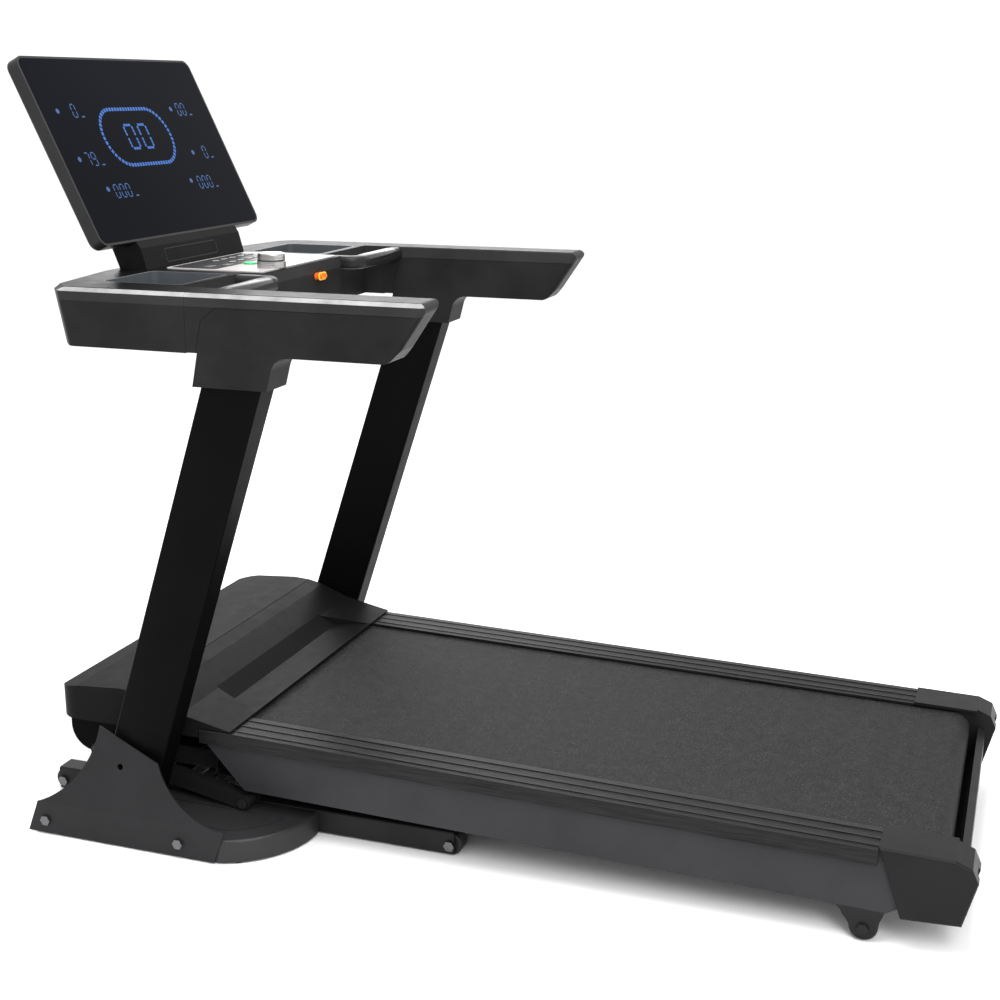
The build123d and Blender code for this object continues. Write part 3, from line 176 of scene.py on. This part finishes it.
# ---------------------------------------------------------------- materials
upright_paint = grained("upright_paint_m", (0.0018, 0.0018, 0.0019), 0.42, grain=1400, specular=0.03)
frame_paint = grained("frame_paint_m", (0.009, 0.009, 0.0095), 0.42, grain=1400, specular=0.14)
plate_paint = grained("plate_paint_m", (0.013, 0.013, 0.014), 0.40, grain=1400, specular=0.12)
beam_paint = grained("beam_paint_m", (0.021, 0.021, 0.023), 0.44, grain=1400, specular=0.14)
hood_plastic = grained("hood_plastic_m", grey(0.0055), 0.46, grain=1100, specular=0.04)
# Painted shade: the belly pan is a darker copy of the hood plastic, standing in for the shade on it.
pan_shade_plastic = grained("pan_plastic_m", grey(0.0012), 0.5, grain=1100, specular=0.03)
cap_plastic = grained("cap_plastic_m", (0.008, 0.008, 0.0085), 0.42, grain=1100, specular=0.10)
shell_plastic = grained("shell_plastic_m", grey(0.012), 0.40, grain=1100, specular=0.2)
tray_plastic = grained("tray_plastic_m", (0.052, 0.058, 0.064), 0.34, grain=1000, specular=0.2)
foot_plastic = grained("foot_plastic_m", (0.018, 0.018, 0.019), 0.36, grain=1200, specular=0.2)
grip_foam = grained("grip_foam_m", grey(0.012), 0.38, grain=900, specular=0.15)
wheel_rubber = grained("wheel_rubber_m", grey(0.008), 0.5, grain=500, specular=0.3)
strut_paint = grained("strut_paint_m", grey(0.007), 0.3, grain=600, specular=0.3)
motor_paint = grained("motor_paint_m", (0.03, 0.03, 0.032), 0.4, grain=600)
zinc = brushed("zinc_m", (0.62, 0.61, 0.58), 0.3, (1, 1, 1), grain=300)
dark_steel = brushed("dark_steel_m", (0.16, 0.16, 0.165), 0.38, (1, 1, 1), grain=300)
steel = brushed("steel_m", (0.10, 0.10, 0.102), 0.3, (0.1, 1, 1))
roller_chrome = brushed("roller_chrome_m", (0.45, 0.45, 0.46), 0.25, (0.1, 1, 1))
knob_metal = brushed("knob_metal_m", (0.50, 0.49, 0.48), 0.3, (1, 1, 14), metal=0.9, grain=24)
silver = grained("silver_m", (0.34, 0.325, 0.322), 0.36, grain=1500, lighter=1.1, specular=0.3)
membrane = grained("membrane_m", (0.010, 0.010, 0.011), 0.34, grain=900, specular=0.3)
legend_white = grained("legend_white_m", grey(0.62), 0.5, grain=700, lighter=1.05)
green = grained("green_m", (0.02, 0.38, 0.12), 0.35, grain=700)
yellow = grained("yellow_m", (0.95, 0.55, 0.05), 0.3, grain=700, lighter=1.05)
key_grey = grained("key_grey_m", (0.05, 0.05, 0.055), 0.4, grain=700)


def make_console_plastic(band_z, bevel_z, top_z, bevel_x):
    """Satin shell: lighter above the inset panel, a painted highlight along the outer bevel, and painted shade
    on the top.
    """
    mat, shader = new_material("console_plastic_m", grey(0.012), 0.38, specular=0.03)
    tree = mat.node_tree
    vector = coords(tree)
    split = tree.nodes.new("ShaderNodeSeparateXYZ")
    tree.links.new(vector, split.inputs["Vector"])
    across, up = split.outputs["X"], split.outputs["Z"]
    cloudy = noise(tree, vector, 9, 3)
    body = ramp(tree, cloudy, [(0.3, grey(0.011)), (0.75, grey(0.018))])
    # Painted highlight: the pale grey on the outer bevel stands in for the lamps' glint along that edge.
    wear_and_highlight = ramp(tree, noise(tree, vector, 26, 3), [(0.3, grey(0.20)), (0.7, grey(0.32))])
    band = ramp(tree, cloudy, [(0.3, grey(0.020)), (0.75, grey(0.030))])
    # Painted shade: the top faces get a near-black colour standing in for the shade that falls on them.
    dark = ramp(tree, cloudy, [(0.3, grey(0.0025)), (0.75, grey(0.005))])
    outer = math_node(tree, "GREATER_THAN", math_node(tree, "ABSOLUTE", across), bevel_x)
    on_bevel = math_node(tree, "MULTIPLY", math_node(tree, "GREATER_THAN", up, bevel_z), outer)
    banded = blended(tree, math_node(tree, "GREATER_THAN", up, band_z), body, band)
    edged = blended(tree, on_bevel, banded, wear_and_highlight)
    on_top = math_node(tree, "GREATER_THAN", up, top_z)
    tree.links.new(blended(tree, on_top, edged, dark), shader.inputs["Base Color"])
    tree.links.new(spread(tree, noise(tree, vector, 40, 4), 0.3, 0.44), shader.inputs["Roughness"])
    tree.links.new(bump(tree, noise(tree, vector, 1200, 2), 0.3, 0.0001), shader.inputs["Normal"])
    return mat


wave_repeat = 20             # the wave texture turns this many radians per unit at scale 1
rib_pitch = 0.0022


def make_rail_metal():
    """Black anodised extrusion: fine ribs along the rail and brushed streaks."""
    mat, shader = new_material("rail_metal_m", (0.02, 0.02, 0.021), 0.3, 0.4, specular=0.12)
    tree = mat.node_tree
    vector = coords(tree)
    ribs = tree.nodes.new("ShaderNodeTexWave")
    ribs.wave_type = "BANDS"
    ribs.bands_direction = "X"
    ribs.inputs["Scale"].default_value = 2 * pi / wave_repeat / rib_pitch
    tree.links.new(vector, ribs.inputs["Vector"])
    streak = noise(tree, coords(tree, scale=(60, 1, 60)), 14, 4)
    tree.links.new(ramp(tree, streak, [(0.3, (0.006, 0.006, 0.0065)), (0.7, (0.022, 0.022, 0.023))]),
                   shader.inputs["Base Color"])
    tree.links.new(spread(tree, streak, 0.22, 0.42), shader.inputs["Roughness"])
    first = bump(tree, ribs.outputs["Fac"], 0.6, 0.0004)
    tree.links.new(bump(tree, streak, 0.15, 0.0001, first), shader.inputs["Normal"])
    return mat


def make_belt_rubber():
    """Running surface: dark rubber with a fine pebbled grain and pale flecks."""
    mat, shader = new_material("belt_rubber_m", (0.02, 0.02, 0.021), 0.62, specular=0.08)
    tree = mat.node_tree
    vector = coords(tree)
    flecks = noise(tree, vector, 520, 2, 0.7)
    cloudy = noise(tree, vector, 60, 5)
    base = ramp(tree, cloudy, [(0.3, grey(0.011)), (0.7, grey(0.017))])
    pale = ramp(tree, flecks, [(0.56, (0, 0, 0)), (0.72, grey(0.06))])
    mix = tree.nodes.new("ShaderNodeMix")
    mix.data_type = "RGBA"
    mix.blend_type = "ADD"
    mix.inputs["Factor"].default_value = 1
    tree.links.new(base, mix.inputs["A"])
    tree.links.new(pale, mix.inputs["B"])
    tree.links.new(mix.outputs["Result"], shader.inputs["Base Color"])
    cells = tree.nodes.new("ShaderNodeTexVoronoi")
    cells.inputs["Scale"].default_value = 480
    tree.links.new(vector, cells.inputs["Vector"])
    tree.links.new(bump(tree, cells.outputs["Distance"], 0.5, 0.0003), shader.inputs["Normal"])
    tree.links.new(spread(tree, flecks, 0.52, 0.72), shader.inputs["Roughness"])
    return mat


def make_screen_glass():
    """Dark gloss panel, faintly bluer towards one corner."""
    mat, shader = new_material("screen_glass_m", (0.003, 0.004, 0.007), 0.14, specular=0.03)
    tree = mat.node_tree
    cloudy = noise(tree, coords(tree), 2.2, 1)
    tree.links.new(ramp(tree, cloudy, [(0.3, (0.0010, 0.0012, 0.0022)), (0.75, (0.002, 0.0024, 0.0045))]),
                   shader.inputs["Base Color"])
    tree.links.new(spread(tree, cloudy, 0.06, 0.12), shader.inputs["Roughness"])
    return mat


def make_safety_red():
    """Translucent-looking orange moulding, redder in the middle."""
    mat, shader = new_material("safety_red_m", (0.9, 0.16, 0.01), 0.3, coat=0.5)
    tree = mat.node_tree
    patchy = noise(tree, coords(tree), 60, 2)
    tree.links.new(ramp(tree, patchy, [(0.4, (0.85, 0.08, 0.01)), (0.65, (1.0, 0.30, 0.02))]),
                   shader.inputs["Base Color"])
    tree.links.new(spread(tree, patchy, 0.2, 0.4), shader.inputs["Roughness"])
    return mat


def make_board():
    """Waxed fibreboard."""
    mat, shader = new_material("board_m", (0.3, 0.2, 0.12), 0.55)
    tree = mat.node_tree
    fibre = noise(tree, coords(tree), 300, 5)
    tree.links.new(ramp(tree, fibre, [(0.3, (0.24, 0.16, 0.09)), (0.7, (0.36, 0.25, 0.15))]),
                   shader.inputs["Base Color"])
    tree.links.new(bump(tree, fibre, 0.2, 0.0003), shader.inputs["Normal"])
    return mat


band_drop = 0.0205           # the inset panel starts this far below the handle's top
edge_bevel = 0.0065
top_skin = 0.0006
handle_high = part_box("handle_right")[1]
console_plastic = make_console_plastic(handle_high.z - band_drop, handle_high.z - edge_bevel,
                                       handle_high.z - top_skin, handle_high.x - edge_bevel)
rail_metal = make_rail_metal()
belt_rubber = make_belt_rubber()
screen_glass = make_screen_glass()
safety_red = make_safety_red()
board_wood = make_board()

node_materials = {
    upright_paint: ["upright_left", "upright_right"],
    plate_paint: ["foot_plate_left", "foot_plate_right"],
    frame_paint: ["base_beam_left", "base_beam_right", "base_crossbars", "motor_tray", "lift_frame",
                  "wheel_brackets", "cross_members"],
    beam_paint: ["side_beam_left", "side_beam_right"],
    hood_plastic: ["hood", "power_inlet", "neck"],
    pan_shade_plastic: ["belly_pan"],
    cap_plastic: ["end_cap_left", "end_cap_right", "rear_cover"],
    shell_plastic: ["screen_housing"],
    console_plastic: ["handle_left", "handle_right", "console_body", "console_base"],
    tray_plastic: ["tray_left", "tray_right"],
    foot_plastic: ["foot_left", "foot_right"],
    grip_foam: ["grip_bar_left", "grip_bar_right"],
    wheel_rubber: ["base_wheel_front_left", "base_wheel_front_right", "base_wheel_rear_left",
                   "base_wheel_rear_right", "deck_wheel_left", "deck_wheel_right", "base_pads", "drive_belt"],
    strut_paint: ["strut_cylinder"],
    motor_paint: ["motor"],
    zinc: ["strut_rod", "roller_axles", "motor_pulley"],
    dark_steel: ["base_bolts", "hinge_yoke"],
    roller_chrome: ["front_roller", "rear_roller"],
    knob_metal: ["knob"],
    silver: ["control_plate"],
    green: ["start_key"],
    key_grey: ["key_plus", "key_minus"],
    rail_metal: ["rail_left", "rail_right"],
    belt_rubber: ["running_belt"],
    screen_glass: ["screen_glass"],
    safety_red: ["safety_key"],
    board_wood: ["deck_board"],
}
for mat, names in node_materials.items():
    for node_name in names:
        data = nodes[node_name].data
        data.materials.clear()
        data.materials.append(mat)


# ---------------------------------------------------------------- small pieces
film_lift = 0.00005          # flat pieces float this far above the surface below them


def add_piece(name, mesh, body, material):
    """Link a mesh piece and give it its material and body."""
    mesh.materials.append(material)
    piece = bpy.data.objects.new(name, mesh)
    bpy.context.scene.collection.objects.link(piece)
    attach(piece, body)


def finished(name, shape):
    """Turn a bmesh into a mesh with its faces turned outwards."""
    mesh = bpy.data.meshes.new(name)
    bmesh.ops.recalc_face_normals(shape, faces=shape.faces)
    shape.to_mesh(mesh)
    shape.free()
    return mesh


def bridge(shape, first, second, closed):
    """Quads between two rows of vertices."""
    count = len(first)
    for index in range(count if closed else count - 1):
        after = (index + 1) % count
        shape.faces.new((first[index], first[after], second[after], second[index]))


def plates(name, outlines, place, thickness):
    """Thin raised shapes: each outline is a list of (u, v) turned into a slab by `place`."""
    shape = bmesh.new()
    for outline in outlines:
        lower = [shape.verts.new(place(u, v, 0)) for u, v in outline]
        upper = [shape.verts.new(place(u, v, thickness)) for u, v in outline]
        shape.faces.new(upper)
        shape.faces.new(list(reversed(lower)))
        bridge(shape, lower, upper, True)
    return finished(name, shape)


def rounded(u, v, width, height, radius, steps=6):
    """Rounded rectangle outline about (u, v)."""
    outline = []
    for quarter, (su, sv) in enumerate(((1, 1), (-1, 1), (-1, -1), (1, -1))):
        for step in range(steps + 1):
            angle = (quarter + step / steps) * pi / 2
            outline.append((u + su * (width / 2 - radius) + radius * cos(angle),
                            v + sv * (height / 2 - radius) + radius * sin(angle)))
    return outline


def frame_outlines(u, v, width, height, radius, line):
    """Quads that follow a rounded rectangle as a thin line."""
    outer = rounded(u, v, width, height, radius)
    inner = rounded(u, v, width - 2 * line, height - 2 * line, max(radius - line, line / 4))
    count = len(outer)
    return [[outer[i], outer[(i + 1) % count], inner[(i + 1) % count], inner[i]] for i in range(count)]


# ---------------------------------------------------------------- display on the screen glass
# On the glass, u and v are millimetres across and up from near the screen's lower middle.
screen_tilt = radians(25.6)
screen_right = Vector((1, 0, 0))
screen_up = Vector((0, sin(screen_tilt), cos(screen_tilt)))
screen_out = Vector((0, -cos(screen_tilt), sin(screen_tilt)))
glass_margin = 0.004
glass_points = [vertex.co for vertex in nodes["screen_glass"].data.vertices]
glass_front = max(point.dot(screen_out) for point in glass_points)
glass_bottom = min(point.dot(screen_up) for point in glass_points) - glass_margin
led_thickness = 0.0001


def on_screen(u, v, lift):
    """Place u and v on the glass, `lift` metres out of it."""
    return (screen_right * u / 1000 + screen_up * (glass_bottom + v / 1000)
            + screen_out * (glass_front + film_lift + lift))


def led_material(name, color, strength):
    """Glowing segment with a slightly patchy body colour."""
    mat, shader = new_material(name, tuple(c * 0.3 for c in color), 0.4)
    shader.inputs["Emission Color"].default_value = (*color, 1)
    shader.inputs["Emission Strength"].default_value = strength
    tree = mat.node_tree
    patchy = noise(tree, coords(tree), 90, 2)
    dim = tuple(c * 0.22 for c in color)
    bright = tuple(c * 0.4 for c in color)
    tree.links.new(ramp(tree, patchy, [(0.3, dim), (0.7, bright)]), shader.inputs["Base Color"])
    return mat


led_blue = led_material("led_blue_m", (0.0, 0.10, 0.42), 0.6)
led_soft = led_material("led_soft_m", (0.003, 0.075, 0.26), 0.5)


def add_display(name, outlines, material):
    add_piece(name, plates(name, outlines, on_screen, led_thickness), "base", material)


ring_u, ring_v = -16, 187
ring_reach = 55              # from the middle to the centre of either end's turn
ring_radius = 52
ring_half_line = 3.2
ring_dashes = 64
dash_share = 0.72            # of each step along the ring
straight = 2 * ring_reach
turn_length = pi * ring_radius
ring_total = 2 * (straight + turn_length)


def ring_point(distance, radius):
    """Point on the racetrack ring at a distance along it, at the given radius."""
    distance %= ring_total
    if distance < straight:
        return (ring_u - ring_reach + distance, ring_v + radius)
    distance -= straight
    if distance < turn_length:
        angle = pi / 2 - distance / ring_radius
        return (ring_u + ring_reach + radius * cos(angle), ring_v + radius * sin(angle))
    distance -= turn_length
    if distance < straight:
        return (ring_u + ring_reach - distance, ring_v - radius)
    angle = -pi / 2 - (distance - straight) / ring_radius
    return (ring_u - ring_reach + radius * cos(angle), ring_v + radius * sin(angle))


ring_outlines = []
for dash in range(ring_dashes):
    start = dash * ring_total / ring_dashes
    end = start + ring_total / ring_dashes * dash_share
    outer_edge = [ring_point(distance, ring_radius + ring_half_line) for distance in (start, end)]
    inner_edge = [ring_point(distance, ring_radius - ring_half_line) for distance in (end, start)]
    ring_outlines.append(outer_edge + inner_edge)
add_display("display_ring", ring_outlines, led_blue)

SEGMENTS = {"0": "abcdef", "7": "abc", "9": "abcdfg"}
bar_share = 0.86             # lit part of each bar or third of a bar
thick_line = 3               # bars thicker than this are split in three


def centred(u, v, width, height):
    """Plain rectangle about (u, v)."""
    return [(u - width / 2, v - height / 2), (u + width / 2, v - height / 2),
            (u + width / 2, v + height / 2), (u - width / 2, v + height / 2)]


def digit(char, u, v, width, height, line, gap):
    """Seven-segment numeral centred at (u, v) as short bars."""
    half_w, half_h = width / 2, height / 2
    flat, tall = width - 2 * gap, half_h - 2 * gap
    bars = {
        "a": (u, v + half_h, flat, line), "d": (u, v - half_h, flat, line), "g": (u, v, flat, line),
        "b": (u + half_w, v + half_h / 2, line, tall), "c": (u + half_w, v - half_h / 2, line, tall),
        "e": (u - half_w, v - half_h / 2, line, tall), "f": (u - half_w, v + half_h / 2, line, tall),
    }
    pieces = 3 if line > thick_line else 1
    outlines = []
    for bar in SEGMENTS[char]:
        bar_u, bar_v, w, h = bars[bar]
        for part in range(pieces):
            shift = (part - (pieces - 1) / 2) / pieces
            if w > h:
                outlines.append(centred(bar_u + shift * w, bar_v, w / pieces * bar_share, h))
            else:
                outlines.append(centred(bar_u, bar_v + shift * h, w, h / pieces * bar_share))
    return outlines


big_digits = digit("0", -37, ring_v, 26, 44, 4.5, 2) + digit("0", 7, ring_v, 26, 44, 4.5, 2)
add_display("display_digits", big_digits, led_blue)

digit_pitch = 18
icon_size = 9
readout_places = [("0", -175, 238), ("00", 158, 236), ("79", -198, 151), ("0", 184, 149), ("000", -158, 91),
                  ("000", 118, 91)]
icon_places = [(-221, 238), (132, 237), (-222, 152), (141, 150), (-181, 96), (90, 96)]
readouts = []
for text, u, v in readout_places:
    for place, char in enumerate(text):
        readouts += digit(char, u + digit_pitch * place, v, 11, 23, 2.2, 0.8)
    readouts.append(rounded(u + digit_pitch * len(text) + 2, v - 11, 9, 2.5, 1.2, 3))
icons = [rounded(u, v, icon_size, icon_size, 4.4) for u, v in icon_places]
add_display("display_readouts", readouts, led_soft)
add_display("display_icons", icons, led_soft)

# ---------------------------------------------------------------- keypad on the control plate
plate_low, plate_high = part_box("control_plate")
film_thickness = 0.0003
dome_foot = 0.00035
dome_height = 0.0009
mark_foot = 0.00128
mark_thickness = 0.0001
dome_places = [(-24 + 30 * column, 122 + 34 * row) for column in range(5) for row in range(2)]


def on_plate(foot):
    """Placer for millimetres across and ahead of the plate's rear middle, starting `foot` metres above it."""
    def place(u, v, lift):
        return Vector((u / 1000, plate_low.y + v / 1000, plate_high.z + film_lift + lift + foot))
    return place


film = plates("keypad_film", [rounded(-8, 138, 252, 88, 8)], on_plate(0), film_thickness)
add_piece("keypad_film", film, "base", membrane)
domes = plates("keypad_domes", [rounded(u, v, 21, 12, 5.5) for u, v in dome_places], on_plate(dome_foot),
               dome_height)
add_piece("keypad_domes", domes, "base", key_grey)
mark_outlines = [quad for u, v in dome_places for quad in frame_outlines(u, v, 15, 7, 3, 0.9)]
marks = plates("keypad_marks", mark_outlines, on_plate(mark_foot), mark_thickness)
add_piece("keypad_marks", marks, "base", legend_white)

# ---------------------------------------------------------------- knob ring and safety key rim
knob_low, knob_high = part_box("knob")
knob_ring_radius = 0.0236
knob_ring_wire = 0.0006
knob_ring_drop = 0.0122      # below the knob's top
knob_middle = (knob_low + knob_high) / 2
ring_centre = Vector((knob_middle.x, knob_middle.y, knob_high.z - knob_ring_drop))


def ring_mesh(name, centre, radius, wire, steps=72, corners=8):
    """Slim torus about an upright axis through `centre`."""
    shape = bmesh.new()
    loops = []
    for step in range(steps):
        angle = 2 * pi * step / steps
        loop = []
        for corner in range(corners):
            tilt = 2 * pi * corner / corners
            reach = radius + wire * cos(tilt)
            offset = Vector((reach * cos(angle), reach * sin(angle), wire * sin(tilt)))
            loop.append(shape.verts.new(centre + offset))
        loops.append(loop)
    for step in range(steps):
        bridge(shape, loops[step], loops[(step + 1) % steps], True)
    for face in shape.faces:
        face.smooth = True
    return finished(name, shape)


add_piece("knob_ring", ring_mesh("knob_ring", ring_centre, knob_ring_radius, knob_ring_wire), "knob",
          membrane)

key_low, key_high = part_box("safety_key")
rim_depth = 0.0042           # ahead of the key's rear end
rim_thickness = 0.0009


def on_key(u, v, lift):
    """Millimetres across and up from the key's middle, and metres towards the user."""
    return Vector(((key_low.x + key_high.x) / 2 + u / 1000, key_low.y + rim_depth - lift,
                   (key_low.z + key_high.z) / 2 + v / 1000))


rim = plates("safety_rim", frame_outlines(0, 0, 30.5, 14, 6.9, 2.4), on_key, rim_thickness)
add_piece("safety_rim", rim, "safety_key", yellow)

# ---------------------------------------------------------------- touch sensors on the grip bars
bar_low, bar_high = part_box("grip_bar_right")
bar_half_y, bar_half_z, bar_corner = 0.014, 0.012, 0.009
sensor_skin = 0.0006
sensor_stations = ((0.192, 0.0), (0.194, 1.0), (0.318, 1.0), (0.320, 0.0))
sensor_steps = 24


def sign_of(value):
    """-1, 0 or 1."""
    return (value > 1e-6) - (value < -1e-6)


def sensor_mesh(name, side):
    """Metal skin that wraps the upper half of a grip bar, down on the bar at both ends."""
    shape = bmesh.new()
    axis_y = bar_low.y + bar_half_y
    axis_z = (bar_low.z + bar_high.z) / 2
    arc = []
    for step in range(sensor_steps + 1):
        angle = pi * step / sensor_steps
        arc.append(((bar_half_y - bar_corner) * sign_of(cos(angle)) + (bar_corner + sensor_skin) * cos(angle),
                    bar_half_z - bar_corner + (bar_corner + sensor_skin) * sin(angle)))
    rows = []
    for x, grow in sensor_stations:
        row = []
        for y, z in arc:
            length = (y * y + z * z) ** 0.5
            factor = (length - sensor_skin * (1 - grow)) / length
            row.append(shape.verts.new((side * x, axis_y + y * factor, axis_z + z * factor)))
        rows.append(row)
    for first, second in zip(rows, rows[1:]):
        bridge(shape, first, second, False)
    for face in shape.faces:
        face.smooth = True
    return finished(name, shape)


for side_name, side in (("left", -1), ("right", 1)):
    sensor_name = f"grip_sensor_{side_name}"
    add_piece(sensor_name, sensor_mesh(sensor_name, side), "base", steel)

# ---------------------------------------------------------------- hatch line on the neck
neck_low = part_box("neck")[0]
face_foot = Vector((0, neck_low.y, neck_low.z))
face_up = Vector((0, 0.010, 0.036)).normalized()
face_out = Vector((0, -face_up.z, face_up.y))
hatch_thickness = 0.0002


def on_neck(u, v, lift):
    """Millimetres across and up the neck's sloping face, and metres out of it."""
    return Vector((u / 1000, 0, 0)) + face_foot + face_up * (v / 1000) + face_out * (film_lift + lift)


hatch = plates("neck_hatch", frame_outlines(-12, 19, 176, 24, 5, 1.0), on_neck, hatch_thickness)
add_piece("neck_hatch", hatch, "base", membrane)

# ---------------------------------------------------------------- screws in the hood's wall
screw_radius = 0.004
screw_sides = 18
# Each row of the head: its radius and its height, as shares of the screw's radius.
screw_profile = ((1, 0), (1, 0.45), (0.85, 0.6), (0.5, 0.62), (0.45, 0.2))
screw_inset = 0.003
screw_ahead = 0.075
screw_z = 0.1795


def screw_mesh(name, centre, outward):
    """Low screw head with a round recess."""
    shape = bmesh.new()
    turn = Vector((0, 0, 1)).rotation_difference(outward)
    rows = []
    for reach, height in screw_profile:
        row = []
        for corner in range(screw_sides):
            angle = 2 * pi * corner / screw_sides
            local = Vector((reach * cos(angle), reach * sin(angle), height)) * screw_radius
            row.append(shape.verts.new(centre + turn @ local))
        rows.append(row)
    for first, second in zip(rows, rows[1:]):
        bridge(shape, first, second, True)
    shape.faces.new(list(reversed(rows[0])))
    shape.faces.new(rows[-1])
    return finished(name, shape)


hood_low, hood_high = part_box("hood")
for side_name, side in (("left", -1), ("right", 1)):
    screw_name = f"hood_screw_{side_name}"
    screw_centre = Vector((side * (hood_high.x - screw_inset), hood_low.y + screw_ahead, screw_z))
    screw = screw_mesh(screw_name, screw_centre, Vector((side, 0, 0)))
    add_piece(screw_name, screw, "deck", zinc)

# ---------------------------------------------------------------- studio and camera
floor_size = 600
floor_gap = 0.0002
bpy.ops.mesh.primitive_plane_add(size=floor_size, location=(0, 0, cad_low.z - floor_gap))
floor = bpy.context.object
floor.name = "studio_floor"
floor_mat, floor_shader = new_material("studio_floor_m", grey(0.93), 0.9)
floor_tree = floor_mat.node_tree
floor_tone = noise(floor_tree, coords(floor_tree), 3, 2)
floor_tree.links.new(ramp(floor_tree, floor_tone, [(0.3, grey(0.92)), (0.7, grey(0.94))]),
                     floor_shader.inputs["Base Color"])
floor.data.materials.append(floor_mat)

world_strength = 1.12
world = bpy.data.worlds.new("studio")
bpy.context.scene.world = world
world.use_nodes = True
background = world.node_tree.nodes["Background"]
background.inputs["Color"].default_value = (1, 1, 1, 1)
background.inputs["Strength"].default_value = world_strength


def softbox(name, location, target, size, power):
    """Rectangular area light aimed at a point; power in watts."""
    data = bpy.data.lights.new(name, "AREA")
    data.shape = "RECTANGLE"
    data.size, data.size_y = size
    data.energy = power
    lamp = bpy.data.objects.new(name, data)
    bpy.context.scene.collection.objects.link(lamp)
    lamp.location = location
    aim = Vector(target) - Vector(location)
    lamp.rotation_euler = aim.to_track_quat("-Z", "Y").to_euler()


softbox("key_light", (-2.6, -1.6, 2.6), (0, 0, 0.5), (1.2, 1.6), 70)
softbox("top_light", (-0.4, 0.0, 3.4), (0, 0, 0.3), (1.2, 3.0), 110)
softbox("rim_light", (2.8, 1.6, 2.2), (0, 0, 0.6), (2.0, 2.0), 40)

camera_data = bpy.data.cameras.new("camera")
camera = bpy.data.objects.new("camera", camera_data)
bpy.context.scene.collection.objects.link(camera)
view_turn = radians(19.5)      # from +X towards +Y
view_down = radians(14.99)
view = Vector((cos(view_turn) * cos(view_down), sin(view_turn) * cos(view_down), -sin(view_down)))
camera.location = (-2.4508, -0.8237, 1.2404)
camera.rotation_euler = view.to_track_quat("-Z", "Y").to_euler()
camera_data.lens = 55.35
camera_data.sensor_width = 36
bpy.context.scene.camera = camera
bpy.context.scene.view_settings.view_transform = "Standard"
